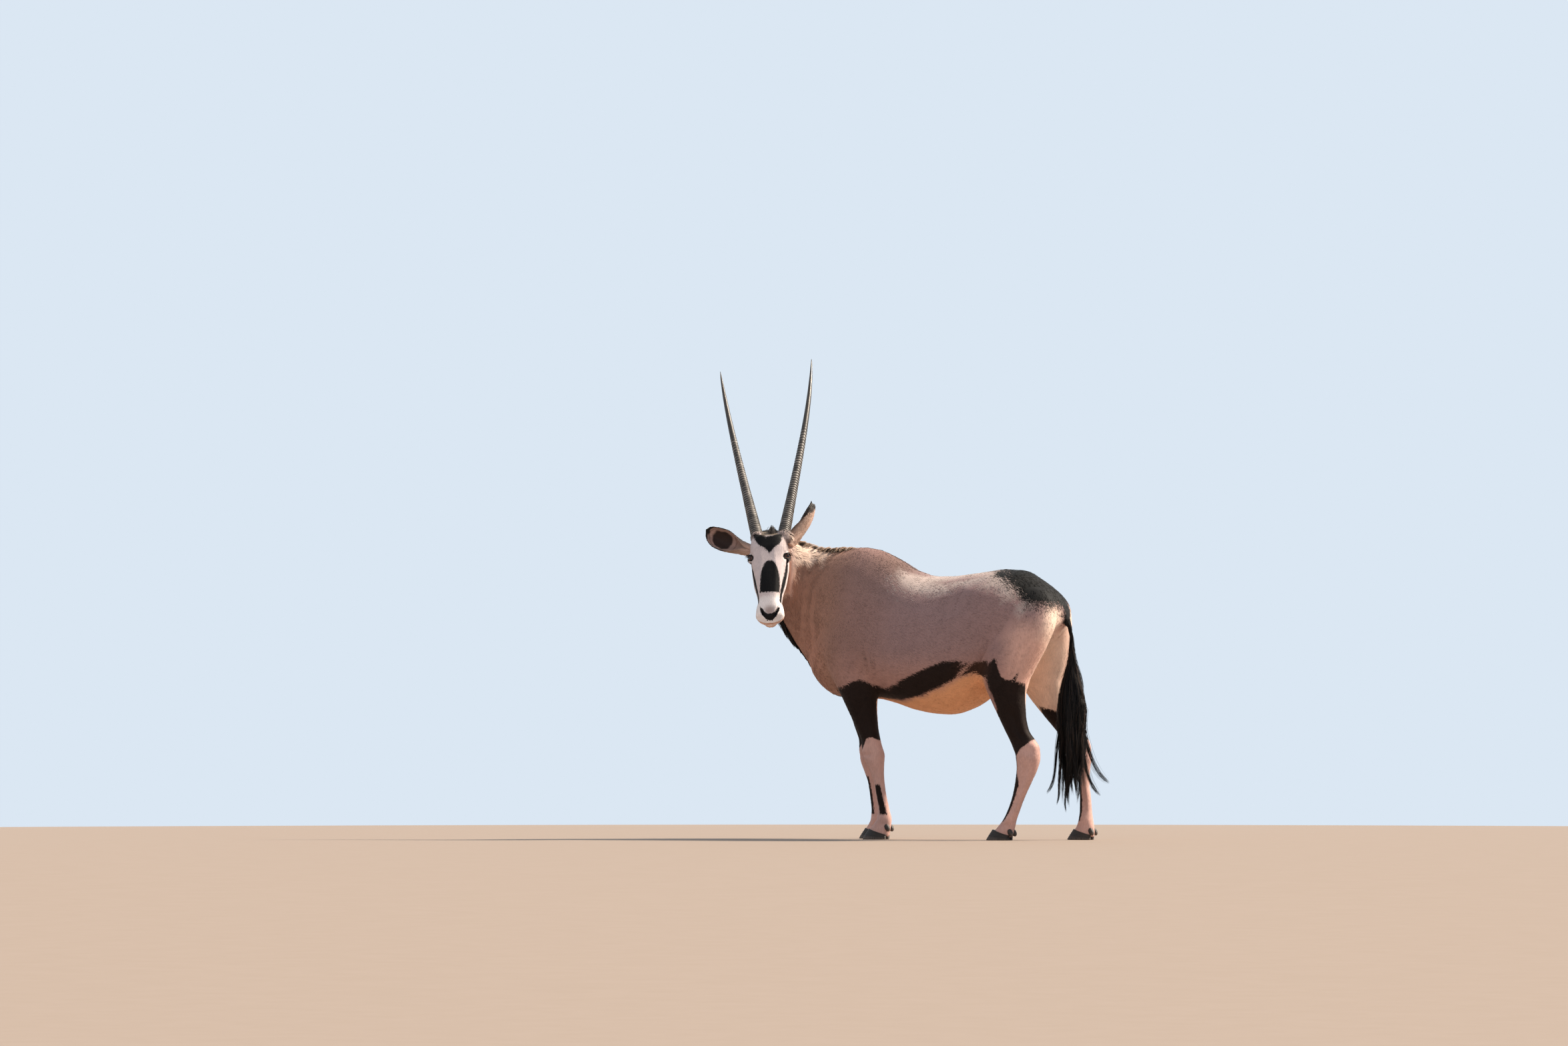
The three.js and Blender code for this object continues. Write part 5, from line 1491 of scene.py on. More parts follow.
def horn(name):
    """Ovals along that line. The radius has a ring wherever its phase is whole, and the spacing of the
    rings grows from 9 mm at the skull to 14.5 mm where they end."""
    side, long = HORNS[name][:2]
    t = np.linspace(0.012, 1, 640)
    middle = horn_line(name, t)
    way = unit(np.gradient(middle, axis=0))
    across = unit(HEAD_AXES[1] - way * (way @ HEAD_AXES[1])[:, None])
    up = np.cross(way, across)
    run = np.append(0, np.cumsum(np.linalg.norm(np.diff(middle, axis=0), axis=1)))
    angle = 2 * np.pi * (np.arange(HORN_SIDES) + 0.5) / HORN_SIDES
    slant = 2.6 * np.sin(angle)[None] + 1.1 * np.sin(2 * angle + 1)[None] * drift(middle, 60, 5)[:, None]
    grow = 5.5 / 550
    phase = np.log(1 + grow * np.maximum(run[:, None] + slant, 0) / 9.0) / grow
    random = np.random.default_rng(51 + (side > 0))
    each_ring = random.uniform(0.75, 1.2, 60)
    wave = 0.5 + 0.5 * np.cos(2 * np.pi * phase)
    strength = each_ring[np.clip(np.round(phase).astype(int), 0, 59)]
    high = (2.2 - 1.3 * (t / 0.62) ** 2)[:, None] * strength * step(0.66, 0.56, t)[:, None] * step(0.0, 0.03, t)[:, None]
    high = np.maximum(high, 0)
    front_more = 1 + 0.3 * np.sin(angle)[None]
    relief = high * (wave ** 0.8 - 0.45) * front_more
    radius = along(HORN_GIRTH, 1, t)[:, None] + relief
    c, s = np.cos(angle)[None], np.sin(angle)[None]
    rings = middle[:, None] + across[:, None] * (0.94 * radius * c)[..., None] + up[:, None] * (1.06 * radius * s)[..., None]
    points, faces = tube(rings)
    piece = make_piece(name + "_sheath", points, faces)
    crest = np.append((wave * step(0.2, 1.2, high)).ravel(), [0, 0])
    share = np.append(np.repeat(t, HORN_SIDES), [0, 1])
    paint(piece.data, "Crest", "FLOAT", crest)
    paint(piece.data, "Along", "FLOAT", share)
    layer = piece.data.uv_layers.new(name="Sheath")
    place = np.stack([np.append(np.tile(angle, len(t)), [0, 0]) * 0.02, np.append(np.repeat(run, HORN_SIDES), [0, run[-1]]) / 1000], 1)
    loops = indices(piece.data.loops, "vertex_index", 1)[:, 0]
    layer.data.foreach_set("uv", place[loops].astype(np.float32).ravel())
    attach(piece, "root")
    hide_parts(name)
    print(name, "rings", int(phase[t < 0.6].max()), "over", round(run[t < 0.6].max()), "mm,", len(faces), "triangles")
    return piece


def horn_material():
    """Horn is keratin in layers, index 1.54. Fibres 0.1 mm thick run along it, drawn 1.2 mm wide to
    show. The ring crests are painted pale, partly as rubbed wear and partly as a painted highlight where light catches
    them, the hollows keep the darker base, and the tip is polished dark brown."""
    material, tree = new_material("horn keratin")
    sheath = add(tree, "UVMap", {"uv_map": "Sheath"}).outputs["UV"]
    place = add(tree, "TexCoord").outputs["Object"]
    crest = add(tree, "Attribute", {"attribute_name": "Crest"}).outputs["Fac"]
    share = add(tree, "Attribute", {"attribute_name": "Along"}).outputs["Fac"]
    stretched = add(tree, "Mapping", i0=sheath, Scale=(800.0, 26.0, 1.0)).outputs[0]
    fibres = add(tree, "TexNoise", None, Vector=stretched, Scale=1.0, Detail=4.0).outputs["Fac"]
    blotch = add(tree, "TexNoise", None, Vector=place, Scale=34.0, Detail=5.0).outputs["Fac"]
    # the ring crests are painted pale: partly rubbed wear, partly a painted highlight where light catches them
    rubbed_and_highlight = add(tree, "MapRange", {"interpolation_type": "SMOOTHSTEP"}, Value=crest, From_Min=0.5, From_Max=0.95, To_Max=0.7).outputs[0]
    rubbed_and_highlight = add(tree, "Math", {"operation": "MULTIPLY"}, i0=rubbed_and_highlight, i1=add(tree, "MapRange", None, Value=blotch, From_Min=0.35, From_Max=0.6).outputs[0]).outputs[0]
    base = add(tree, "Mix", {"data_type": "RGBA"}, i0=blotch, i6=(*linear("#1d1a18"), 1), i7=(*linear("#3b342e"), 1)).outputs[2]
    base = add(tree, "Mix", {"data_type": "RGBA"}, i0=rubbed_and_highlight, i6=base, i7=(*linear("#9a928c"), 1)).outputs[2]
    tip = add(tree, "MapRange", {"interpolation_type": "SMOOTHSTEP"}, Value=share, From_Min=0.62, From_Max=0.9, To_Max=0.8).outputs[0]
    base = add(tree, "Mix", {"data_type": "RGBA"}, i0=tip, i6=base, i7=(*linear("#3f352d"), 1)).outputs[2]
    lit = add(tree, "MapRange", None, Value=fibres, From_Min=0.3, From_Max=0.7, To_Min=0.72, To_Max=1.2).outputs[0]
    colour = add(tree, "VectorMath", {"operation": "SCALE"}, i0=base, Scale=lit).outputs[0]
    rough = add(tree, "MapRange", None, Value=share, From_Min=0.55, From_Max=0.85, To_Min=0.5, To_Max=0.3).outputs[0]
    bump = add(tree, "Bump", None, Strength=0.35, Distance=0.0008, Height=fibres).outputs[0]
    shader = add(tree, "BsdfPrincipled", None, Base_Color=colour, Roughness=rough, IOR=1.54, Normal=bump, Specular_IOR_Level=0.5)
    finish_material(tree, shader)
    return material


HORN_KERATIN = horn_material()
for name in HORNS:
    horn(name).data.materials.append(HORN_KERATIN)

# %% [markdown]
# ## Ears
# An ear is a sheet of gristle rolled into a cup on a stalk, with skin and short hair on both sides.
# It is worked out as a grid of places along it and round its cup, once for the outside and once for
# the inside, joined at the rim. The left ear is torn at its tip: there the grid is simply shorter.

# %% Ear shape
EAR = np.array([
    [0, 179, 22, 19], [0.1, 178, 24, 16], [0.2, 172, 27, 9], [0.3, 150, 31, 5.4], [0.45, 114, 39, 4.6],
    [0.6, 96, 46, 4.2], [0.75, 86, 48, 3.8], [0.87, 76, 41, 3.4], [0.95, 66, 27, 3], [1, 60, 10, 2.6],
], float)
# root, tip, the way the cup opens, length, sideways bend, how much one edge is straightened, slimness
EARS = {
    "ear_left": (on_head([24, 84, -104]), on_head([-166, 160, -124]), np.array([-0.4, -0.8, 0.35]) @ HEAD_AXES, 240.0, 8.0, 0.0, 0.14),
    "ear_right": (on_head([48, -66, -88]), on_head([-58, -278, -46]), np.array([0.25, 0, 0.95]) @ HEAD_AXES, 226.0, -9.0, 0.26, 0.0),
}


def ear_point(name, t, turn_share, deep):
    """A place on an ear: t along it, turn_share from -1 to 1 round its cup, deep from 0 on the outside
    to 1 on the inside. Returns the point and the way from the outside to the cup's middle."""
    root, tip, opening, long, sag, flat, slim = EARS[name]
    way = unit(tip - root)
    front = unit(opening - way * (opening @ way))
    side = np.cross(way, front)
    radius, wall = along(EAR, 2, t) * (1 - slim * step(0.2, 0.5, t) * (1 - 1.7 * step(0.8, 1, t))), along(EAR, 3, t)
    turn = np.radians(along(EAR, 1, t)) * turn_share
    wall = wall * (1 - 0.7 * np.abs(turn_share) ** 8)
    straight = 1 - flat * np.maximum(turn_share, 0) * step(0.55, 0.85, t) * step(1.1, 0.9, t)
    fold = 1.6 * np.sin(9 * turn_share) * step(0.25, 0.6, t) * (1 - np.abs(turn_share) ** 4) * deep
    reach = radius * straight - wall * deep - fold * 0.6
    bend = np.sin(np.pi * np.clip(t, 0, 1))
    middle = root + way * column(long * t) + front * column(radius * 0.45 - 16 * bend) + side * column(sag * bend)
    outward_way = -front * column(np.cos(turn)) + side * column(np.sin(turn))
    return middle + outward_way * column(reach), -outward_way


def ear_end(name, turn_share):
    """How far the sheet goes at each place round the cup, as a share of the ear's length. The torn left
    ear has a spike at one edge, a notch beside it and a blunt second tip."""
    if name == "ear_right":
        return 1 - 0.05 * turn_share ** 2
    spike = 0.07 * step(-0.7, -1.0, turn_share)
    notch = 0.09 * np.exp(-(((turn_share + 0.42) / 0.17) ** 2))
    return 0.95 + spike - notch - 0.08 * step(0.1, 1, turn_share)


def ear_tone(name, t, turn, deep, margin, wobble):
    """Colours of an ear: grey-brown with a pink middle behind, a dark oval in a pale ring inside, and a
    black rim that is broad at the tip. margin is 1 at the sheet's edge."""
    tone = np.tile(linear("#9c8274"), (len(t), 1))
    pink = step(0.75, 0.25, np.abs(turn + 0.1)) * step(0.3, 0.5, t)
    tone = laid_over(tone, pink * (1 - deep) * 0.8, "#c9a595")
    tone = laid_over(tone, step(0.4, 0.05, t), "#cfae9d")
    inner = deep * step(0.25, 0.4, t)
    tone = laid_over(tone, inner, "#b09085")
    oval = np.hypot((t - 0.655) / 0.21, turn / 0.64) + 0.06 * wobble
    tone = laid_over(tone, inner * np.exp(-(((oval - 1.3) / 0.06) ** 2)) * 0.6, "#5a4039")
    tone = laid_over(tone, inner * step(1.08, 0.86, oval), "#2e1a14")
    torn = name == "ear_left"
    rim_from = 0.93 - (0.05 if torn else 0.03) * step(0.6, 0.9, t) + 0.015 * wobble
    tone = laid_over(tone, step(0, 0.03, margin - rim_from) * step(0.42, 0.6, t), "#151110")
    if torn:
        tip = step(-0.03, 0.04, t - 0.87 + 0.26 * step(0.2, 0.95, turn) + 0.02 * wobble)
        tone = laid_over(tone, tip * 0.95, "#1b1512")
    return tone


def ear(name):
    """The closed sheet of one ear, with its colours."""
    half, rows = 41, 72
    turn = np.linspace(-1, 1, half)
    turn = np.concatenate([turn, turn[::-1]])
    deep = np.repeat([0.0, 1.0], half)
    u = np.linspace(0, 1, rows)
    t = (u[:, None] * ear_end(name, turn)[None]).ravel()
    turns, depths = np.tile(turn, rows), np.tile(deep, rows)
    flat, _ = ear_point(name, t, turns, depths)
    points, faces = tube(flat.reshape(rows, 2 * half, 3))
    piece = make_piece(name + "_cup", points, faces)
    wobble = drift(flat, 16, 61)
    margin = np.maximum(np.abs(turns), 1.12 * t / np.maximum(ear_end(name, turns), 0.5) - 0.12)
    tone = ear_tone(name, t, turns, depths, margin, wobble)
    paint(piece.data, "Ground", "FLOAT_COLOR", np.r_[tone, tone[:1], tone[-1:]])
    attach(piece, "root")
    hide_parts(name)
    print(name, len(faces), "triangles")
    return piece


def ear_material():
    """Thin skin with velvet hair, index 1.45: dull, and a little light comes through it. Velvet hairs
    0.03 mm thick are drawn as streaks 1.5 mm wide."""
    material, tree = new_material("velvet skin of the ear")
    place = add(tree, "TexCoord").outputs["Object"]
    tone = add(tree, "Attribute", {"attribute_name": "Ground"}).outputs["Color"]
    velvet = add(tree, "TexNoise", None, Vector=place, Scale=420.0, Detail=3.0).outputs["Fac"]
    veins = add(tree, "TexNoise", None, Vector=place, Scale=45.0, Detail=4.0).outputs["Fac"]
    light = add(tree, "MapRange", None, Value=velvet, From_Min=0.3, From_Max=0.7, To_Min=0.8, To_Max=1.16).outputs[0]
    deep = add(tree, "MapRange", None, Value=veins, From_Min=0.35, From_Max=0.65, To_Min=0.88, To_Max=1.08).outputs[0]
    light = add(tree, "Math", {"operation": "MULTIPLY"}, i0=light, i1=deep).outputs[0]
    colour = add(tree, "VectorMath", {"operation": "SCALE"}, i0=tone, Scale=light).outputs[0]
    bump = add(tree, "Bump", None, Strength=0.4, Distance=0.0006, Height=velvet).outputs[0]
    shader = add(
        tree, "BsdfPrincipled", None, Base_Color=colour, Roughness=0.7, IOR=1.45, Normal=bump,
        Subsurface_Weight=0.08, Subsurface_Radius=(0.004, 0.0016, 0.001), Sheen_Weight=0.15, Sheen_Roughness=0.5,
    )
    finish_material(tree, shader)
    return material


VELVET_SKIN = ear_material()
for name in EARS:
    ear(name).data.materials.append(VELVET_SKIN)


def ear_hair(name, seed):
    """Hair over the outside of an ear, longer towards its stalk, and a little longer hair along its rim."""
    random = np.random.default_rng(seed)
    count = 2600
    t = random.uniform(0.04, 0.94, count)
    turn = random.uniform(-1, 1, count)
    rim = (random.random(count) < 0.3) & (t < 0.85)
    turn = np.where(rim, np.sign(turn) * random.uniform(0.9, 0.99, count), turn)
    end = ear_end(name, turn)
    root, inward = ear_point(name, t * end, turn, np.where(rim, 0.5, 0.0))
    ahead, _ = ear_point(name, np.minimum(t + 0.05, 1) * end, turn, np.where(rim, 0.5, 0.0))
    way = unit(ahead - root + 1e-6)
    long = np.where(rim, 8.0, 6.0) * random.uniform(0.7, 1.3, count) * (1 + 0.8 * step(0.3, 0.1, t))
    across = np.cross(way, inward)
    toward = -across * column(np.sign(turn) * np.where(rim, 0.35, 0) + 0.15 * random.normal(size=count))
    lift = np.where(rim, 0.25, 0.14)
    tip = root + unit(way + toward) * column(long) - inward * column(lift * long)
    middle = (root + tip) / 2 - inward * column(0.08 * long)
    controls = np.stack([root + inward * 0.6, middle, tip], 1)
    margin = np.maximum(np.abs(turn), t * 1.12 - 0.12)
    tone = ear_tone(name, t, turn, 0 * t, margin, drift(root, 16, 61))
    black = -40.0
    places = round_place(t, np.pi * turn, 0, 1)
    return long_hair(name + "_hair", controls, 0.24 * long, 0.05 * long + 0.2, -inward[:, None], places, tone, random, black=black, k=3, lighter=0.2)


ear_hair("ear_left", 62)
ear_hair("ear_right", 63)

# %% [markdown]
# ## Eyes
# A real eye is a wet ball whose clear front bulges, over a brown iris with a pupil that lies level.
# The lids are black and lie on the ball, and the upper one carries long lashes.

# %% Eyes, lids and lashes
def eyeball(name, side):
    """A ball about the eye's own line of sight, with a bulge of 1.2 mm in front."""
    middle, gaze, long, up = eye_frame(side)
    theta = np.linspace(0.02, np.pi - 0.02, 60)
    phi = 2 * np.pi * np.arange(72) / 72
    radius = EYE_RADIUS + 1.2 * np.exp(-((theta / 0.75) ** 4))
    sideways = np.cos(phi)[None, :, None] * long + np.sin(phi)[None, :, None] * up
    rings = middle + (radius * np.cos(theta))[:, None, None] * gaze + (radius * np.sin(theta))[:, None, None] * sideways
    points, faces = tube(rings)
    piece = make_piece(name + "_ball", points, faces)
    from_eye = points - middle
    paint(piece.data, "Level", "FLOAT", from_eye @ long)
    paint(piece.data, "Upright", "FLOAT", from_eye @ up)
    piece.data.materials.append(WET_EYE)
    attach(piece, "root")
    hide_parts(name)
    return piece


def eye_material():
    """A wet eyeball: a film of tears over the cornea, index 1.376, on a red-brown iris."""
    material, tree = new_material("wet eyeball")
    level_place = add(tree, "Attribute", {"attribute_name": "Level"}).outputs["Fac"]
    upright = add(tree, "Attribute", {"attribute_name": "Upright"}).outputs["Fac"]
    plane = add(tree, "CombineXYZ", None, X=level_place, Y=upright).outputs[0]
    pupil_place = add(tree, "VectorMath", {"operation": "MULTIPLY"}, i0=plane, i1=(0.12, 0.2, 0)).outputs[0]
    pupil_far = add(tree, "VectorMath", {"operation": "LENGTH"}, i0=pupil_place).outputs["Value"]
    iris_far = add(tree, "VectorMath", {"operation": "LENGTH"}, i0=plane).outputs["Value"]
    rays = add(tree, "TexNoise", None, Vector=plane, Scale=0.9, Detail=4.0).outputs["Fac"]
    iris = add(tree, "Mix", {"data_type": "RGBA"}, i0=rays, i6=(*linear("#1c0c06"), 1), i7=(*linear("#5c2c15"), 1)).outputs[2]
    dark = add(tree, "MapRange", {"interpolation_type": "SMOOTHSTEP"}, Value=pupil_far, From_Min=0.85, From_Max=1.15).outputs[0]
    colour = add(tree, "Mix", {"data_type": "RGBA"}, i0=dark, i6=(*linear("#040405"), 1), i7=iris).outputs[2]
    outside = add(tree, "MapRange", {"interpolation_type": "SMOOTHSTEP"}, Value=iris_far, From_Min=14.5, From_Max=16.5).outputs[0]
    colour = add(tree, "Mix", {"data_type": "RGBA"}, i0=outside, i6=colour, i7=(*linear("#17100e"), 1)).outputs[2]
    shader = add(
        tree, "BsdfPrincipled", None, Base_Color=colour, Roughness=0.12, IOR=1.376, Specular_IOR_Level=0.3,
        Coat_Weight=1.0, Coat_Roughness=0.03, Coat_IOR=1.376,
    )
    finish_material(tree, shader)
    return material


def lid_material():
    """The bare black skin of the lids: moist, finely wrinkled, index 1.4."""
    material, tree = new_material("moist lid skin")
    place = add(tree, "TexCoord").outputs["Object"]
    wrinkles = add(tree, "TexNoise", None, Vector=place, Scale=700.0, Detail=4.0).outputs["Fac"]
    colour = add(tree, "Mix", {"data_type": "RGBA"}, i0=wrinkles, i6=(*linear("#0c0a0b"), 1), i7=(*linear("#2a2223"), 1)).outputs[2]
    bump = add(tree, "Bump", None, Strength=0.5, Distance=0.0005, Height=wrinkles).outputs[0]
    finish_material(tree, add(tree, "BsdfPrincipled", None, Base_Color=colour, Roughness=0.38, IOR=1.4, Normal=bump))
    return material


WET_EYE = eye_material()
LID_SKIN = lid_material()


def on_lid(side, angle, radius):
    """A place on the almond between the lids, at a distance from the middle of the eye."""
    middle, gaze, long, up = eye_frame(side)
    a, b = lid_outline(angle)
    deep = np.sqrt(np.maximum(radius ** 2 - a * a - b * b, 1))
    return middle + long * column(a) + up * column(b) + gaze * column(deep)


def lids(name, side):
    """A rim that follows the almond, thicker above, closed on itself."""
    angle = np.linspace(0, 2 * np.pi, 97)[:-1]
    line = on_lid(side, angle, EYE_RADIUS + 2.0)
    middle = eye_frame(side)[0]
    out = unit(line - middle)
    way = unit(np.roll(line, -1, 0) - np.roll(line, 1, 0))
    across = np.cross(way, out)
    around = 2 * np.pi * np.arange(12) / 12
    thick = 2.3 + 0.7 * np.sin(angle)
    rings = line[:, None] + (out[:, None] * np.cos(around)[None, :, None] * 0.8 + across[:, None] * np.sin(around)[None, :, None] * 1.25) * thick[:, None, None]
    rows, sides = rings.shape[:2]
    k = np.arange(sides)
    r = np.arange(rows)[:, None] * sides
    following = (np.arange(rows)[:, None] + 1) % rows * sides
    a, b, c, d = r + k, r + (k + 1) % sides, following + (k + 1) % sides, following + k
    points = rings.reshape(-1, 3)
    faces = outward(points, np.stack([a, b, c, a, c, d], -1).reshape(-1, 3))
    piece = make_piece(name + "_lids", points, faces)
    piece.data.materials.append(LID_SKIN)
    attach(piece, "root")
    return piece


def lashes(name, side, seed):
    """Long lashes on the upper lid that curve out and down, and short ones below."""
    random = np.random.default_rng(seed)
    count = 70
    above = random.random(count) < 0.9
    angle = np.where(above, random.uniform(0.45, np.pi - 0.1, count), -random.uniform(1.5, np.pi - 0.4, count))
    middle, gaze, long, up = eye_frame(side)
    root = on_lid(side, angle, EYE_RADIUS + 2.8)
    reach = np.where(above, 13.0, 4.0) * random.uniform(0.75, 1.2, count)
    fan = np.cos(angle) * 0.6
    start = unit(gaze + column(0.3 * np.sin(angle)) * up + column(fan) * long)
    end = root + start * column(reach) - up * column(0.3 * reach)
    controls = np.stack([root, root + start * column(0.5 * reach) + up * column(0.05 * reach), end], 1)
    tone = np.tile(linear("#171313"), (count, 1))
    places = round_place(0.3 + 0 * angle, angle, 0, 1)
    return long_hair(name + "_lashes", controls, np.full(count, 0.9), np.full(count, 0.4), gaze[None, None], places, tone, random, black=20.0, k=4, lighter=0.1)


for name, side in (("eye_left", 1), ("eye_right", -1)):
    eyeball(name, side)
    lids(name, side)
    lashes(name, side, 70 + side)

# %% [markdown]
# ## Hooves
# Each foot stands on two toes that are mirror images: a wall of horn that is flat below, straight
# towards its twin, rounded outside and drawn to a point in front. Its upper edge slopes from the front
# down to the heel. Small waves round the wall are its growth, and two dewclaws hang behind.

# %% Hooves and dewclaws
HOOF_WIDE, CLEFT, TOE_EDGE, HEEL_EDGE = 16.0, 1.5, 47.0, 20.0


def hoof(foot, half):
    """One toe: rings that rise from the sole to the sloping edge. At share h of the height, a point
    lies at z = h (edge height at its x), with the front line at 0.74 z behind the toe."""
    name, table, side, cut, toe, heel, dewclaw = foot
    middle = side * along(table, 5, 0.0) + half * (HOOF_WIDE + CLEFT)
    h = np.array([0, 0.004, 0.02, 0.05, *np.linspace(0.09, 0.985, 34), 1.0])[:, None]
    angle = 2 * np.pi * (np.arange(44) + 0.5)[None] / 44
    lengthways = (1 - np.cos(angle)) / 2
    slope = (TOE_EDGE - HEEL_EDGE) / (heel - toe - 24)
    z = h * 30 + 0 * angle
    for _ in range(12):
        front = toe + 0.74 * z - 2 * np.sin(np.pi * z / 62)
        back = heel + 0.06 * z
        x = front + (back - front) * lengthways
        z = h * (HEEL_EDGE + slope * (heel - x))
    taper = 0.5 + 0.5 * np.minimum(1, lengthways / 0.55) ** 0.8
    outer = np.sign(np.sin(angle)) * half > 0
    width = HOOF_WIDE * np.where(outer, taper - 0.001 * z, 0.94)
    rounded = np.abs(np.sin(angle)) ** np.where(outer, 0.8, 0.5)
    y = np.sign(np.sin(angle)) * width * rounded
    waves = 0.35 * np.sin(h * 34 + 1.3 * np.sin(angle)) * step(0.1, 0.3, h) * step(1, 0.9, h)
    lip = 0.9 * np.exp(-(((h - 0.93) / 0.06) ** 2))
    tuck = -2.2 * (1 - np.clip(h / 0.05, 0, 1)) ** 2
    grow = 1 + (waves + lip + tuck) / 26
    centre = (front + back) / 2
    points = np.stack([centre + (x - centre) * grow, middle + y * grow, z], -1)
    flat, faces = tube(points)
    return flat, faces, np.append(np.broadcast_to(h, z.shape).ravel(), [0, 1])


def claw(foot, half):
    """A dewclaw: a blunt cone turned round a line tilted 28 degrees from upright, ringed by its growth."""
    name, table, side, cut, toe, heel, height = foot
    back = along(table, 2 if side < 0 else 4, float(height))
    middle = side * along(table, 5, float(height)) + half * 18
    profile = np.array([[-19, 0.3], [-17.5, 4], [-15, 7], [-10, 9.4], [-5, 10.5], [0, 10.7], [6, 10], [10, 8.4], [13, 6], [15.5, 2.5], [16, 0.3]])
    fine = np.linspace(-19, 16, 40)
    radius = np.maximum(along(profile, 1, fine) + 0.3 * np.sin(fine * 1.6), 0.25)
    angle = 2 * np.pi * np.arange(26) / 26
    tilt = np.radians(-28)
    down = np.array([np.sin(tilt), 0, np.cos(tilt)])
    rear = np.array([np.cos(tilt), 0, -np.sin(tilt)])
    centre = np.array([back - 8, middle, height])
    ring = np.cos(angle)[None, :, None] * rear + np.sin(angle)[None, :, None] * np.array([0, 1.0, 0])
    flat, faces = tube(centre + fine[:, None, None] * down + radius[:, None, None] * ring)
    return flat, faces, np.append(np.repeat(np.linspace(0, 1, 40), 26), [0, 1])


def hoof_material():
    """Hoof horn: keratin, index 1.54, dry and scratched, dusty where it meets the ground."""
    material, tree = new_material("hoof horn")
    place = add(tree, "TexCoord").outputs["Object"]
    share = add(tree, "Attribute", {"attribute_name": "Height"}).outputs["Fac"]
    grain_place = add(tree, "Mapping", i0=place, Scale=(160.0, 160.0, 900.0)).outputs[0]
    grain = add(tree, "TexNoise", None, Vector=grain_place, Scale=1.0, Detail=4.0).outputs["Fac"]
    scratch_place = add(tree, "Mapping", i0=place, Scale=(620.0, 620.0, 60.0)).outputs[0]
    scratches = add(tree, "TexNoise", None, Vector=scratch_place, Scale=1.0, Detail=3.0).outputs["Fac"]
    colour = add(tree, "Mix", {"data_type": "RGBA"}, i0=grain, i6=(*linear("#141110"), 1), i7=(*linear("#332a25"), 1)).outputs[2]
    dust = add(tree, "MapRange", {"interpolation_type": "SMOOTHSTEP"}, Value=share, From_Min=0.45, From_Max=0.0, To_Max=0.55).outputs[0]
    dust = add(tree, "Math", {"operation": "MULTIPLY"}, i0=dust, i1=add(tree, "MapRange", None, Value=scratches, From_Min=0.35, From_Max=0.6).outputs[0]).outputs[0]
    colour = add(tree, "Mix", {"data_type": "RGBA"}, i0=dust, i6=colour, i7=(*linear("#8a7566"), 1)).outputs[2]
    bump = add(tree, "Bump", None, Strength=0.4, Distance=0.0006, Height=scratches).outputs[0]
    finish_material(tree, add(tree, "BsdfPrincipled", None, Base_Color=colour, Roughness=0.5, IOR=1.54, Normal=bump))
    return material


HOOF_HORN = hoof_material()
for foot in FEET:
    for half in (-1, 1):
        which = "outer" if half * foot[2] > 0 else "inner"
        for kind, shape in (("hoof", hoof), ("dewclaw", claw)):
            flat, faces, share = shape(foot, half)
            node = f"{kind}_{foot[0]}_{which}"
            piece = make_piece(node + "_horn", flat, faces)
            paint(piece.data, "Height", "FLOAT", share)
            piece.data.materials.append(HOOF_HORN)
            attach(piece, "root")
            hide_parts(node)
print("hooves and dewclaws", 16)

# %% [markdown]
# ## Camera and light
# The photograph was taken from far away with a long lens, a little behind the animal's left side and
# low down. 26 degrees round and 45 m off, with 360 pixels to the metre, it is a lens of 248 mm. A pale
# dome of light is all round, dimmer on the camera's side. A warm lamp behind and above draws the bright
# line along the back, and a weak wide one in front softens the shadows. The floor is domed so little
# that it falls 0.5 mm under the feet, which puts its horizon low.

# %% Camera
PIXELS_PER_METRE = 360.0
FAR = 45.0
azimuth = math.radians(26)
level = np.array([math.cos(azimuth), math.sin(azimuth), 0.0])
back = np.array([math.sin(azimuth), -math.cos(azimuth), 0.0])
sight = (1175 - 1400) / PIXELS_PER_METRE * level + np.array([0, 0, (1258 - 784) / PIXELS_PER_METRE]) + PLACE
eye_height = 0.62
camera_place = sight + back * FAR
camera_place[2] = eye_height
camera_data = bpy.data.cameras.new("camera")
camera_data.sensor_width = 36.0
camera_data.lens = 36.0 * FAR / (2350 / PIXELS_PER_METRE)
camera_data.clip_end = 200.0
camera = bpy.data.objects.new("camera", camera_data)
bpy.context.scene.collection.objects.link(camera)


def aim(thing, place, target):
    """Puts a camera or a light at a place and turns it towards a target."""
    from mathutils import Vector
    thing.location = Vector(place)
    thing.rotation_euler = (Vector(target) - Vector(place)).to_track_quat("-Z", "Y").to_euler()


aim(camera, camera_place, sight)
bpy.context.scene.camera = camera
bpy.context.scene.view_settings.view_transform = "Standard"
print("lens", round(camera_data.lens, 1), "mm, camera at", camera_place.round(2))

# %% Light, floor and room
def seen_from(right, toward, up):
    """A direction as the camera sees it: to the right, towards the camera and up."""
    return right * level + toward * back + np.array([0, 0, up])


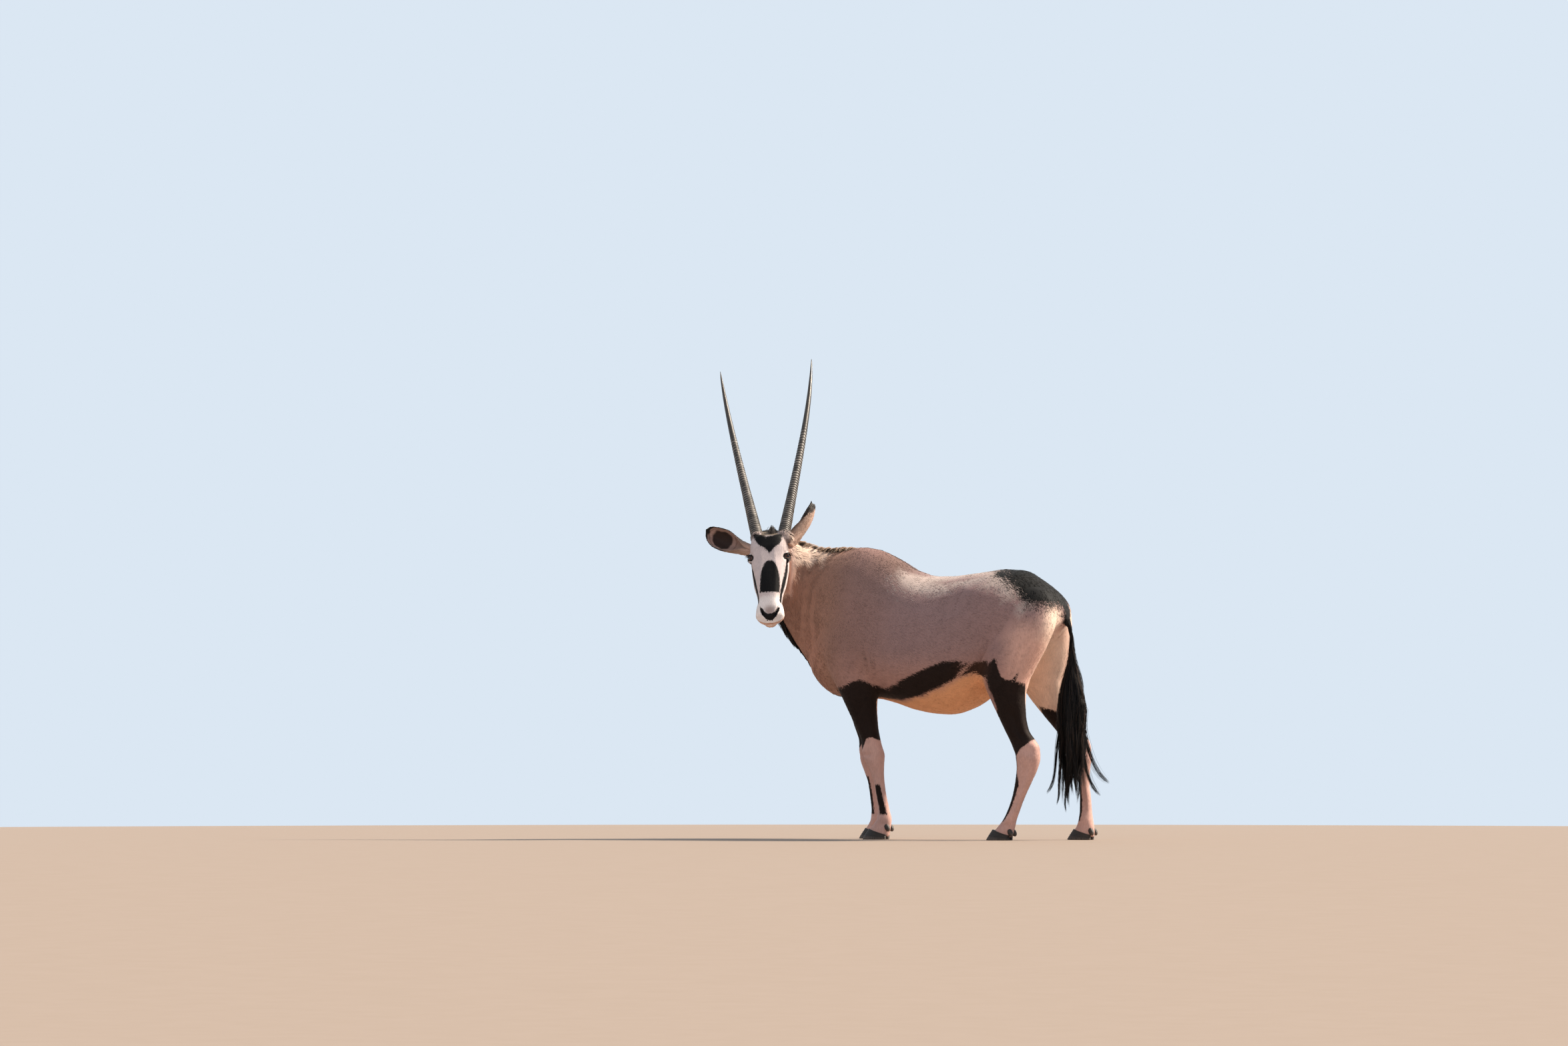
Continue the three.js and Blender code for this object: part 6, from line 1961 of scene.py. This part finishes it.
def add_sun(name, way, power, spread, colour):
    """A soft lamp far away in a direction: spread is how many degrees across it looks."""
    data = bpy.data.lights.new(name, "SUN")
    data.energy = power
    data.angle = math.radians(spread)
    data.color = linear(colour)
    lamp = bpy.data.objects.new(name, data)
    bpy.context.scene.collection.objects.link(lamp)
    aim(lamp, way * 10, (0, 0, 0))


add_sun("key_behind", seen_from(0.84, -0.14, 0.82), 8.0, 6, "#fff0dc")
add_sun("front_window", seen_from(-0.3, 1.0, 0.5), 0.3, 60, "#ffeee2")


def domed_floor():
    """A round sheet 120 m across that falls as r^2 / (2 R) with R = 780 m."""
    radius = np.concatenate([[0.0], np.geomspace(0.5, 60, 40)])
    angle = 2 * np.pi * np.arange(96) / 96
    grid = np.stack([radius[:, None] * np.cos(angle), radius[:, None] * np.sin(angle), -(radius[:, None] ** 2) / 1560 + 0 * angle], -1)
    k = np.arange(96)
    r = np.arange(len(radius) - 1)[:, None] * 96
    faces = np.stack([r + k, r + 96 + k, r + 96 + (k + 1) % 96, r + (k + 1) % 96], -1).reshape(-1, 4)
    return grid.reshape(-1, 3), faces


stage_points, stage_faces = domed_floor()
stage = make_piece("floor", (stage_points - PLACE) * 1000, stage_faces)
paper, tree = new_material("painted studio floor")
grit = add(tree, "TexNoise", None, Vector=add(tree, "TexCoord").outputs["Object"], Scale=9.0, Detail=3.0).outputs["Fac"]
tint = add(tree, "Mix", {"data_type": "RGBA"}, i0=grit, i6=(*linear("#8f8074"), 1), i7=(*linear("#94857a"), 1)).outputs[2]
finish_material(tree, add(tree, "BsdfPrincipled", None, Base_Color=tint, Roughness=0.85, Specular_IOR_Level=0.2))
stage.data.materials.append(paper)

world = bpy.data.worlds.new("pale room")
bpy.context.scene.world = world
world.use_nodes = True
room = world.node_tree
sky = room.nodes["Background"]
sky.inputs["Color"].default_value = (*linear("#dbe7f3"), 1)
ahead = add(room, "VectorMath", {"operation": "DOT_PRODUCT"}, i0=add(room, "TexCoord").outputs["Generated"], i1=tuple(-back))
bright = add(room, "MapRange", None, Value=ahead.outputs["Value"], From_Min=-0.3, From_Max=0.6, To_Min=0.6, To_Max=1.0)
room.links.new(bright.outputs[0], sky.inputs["Strength"])
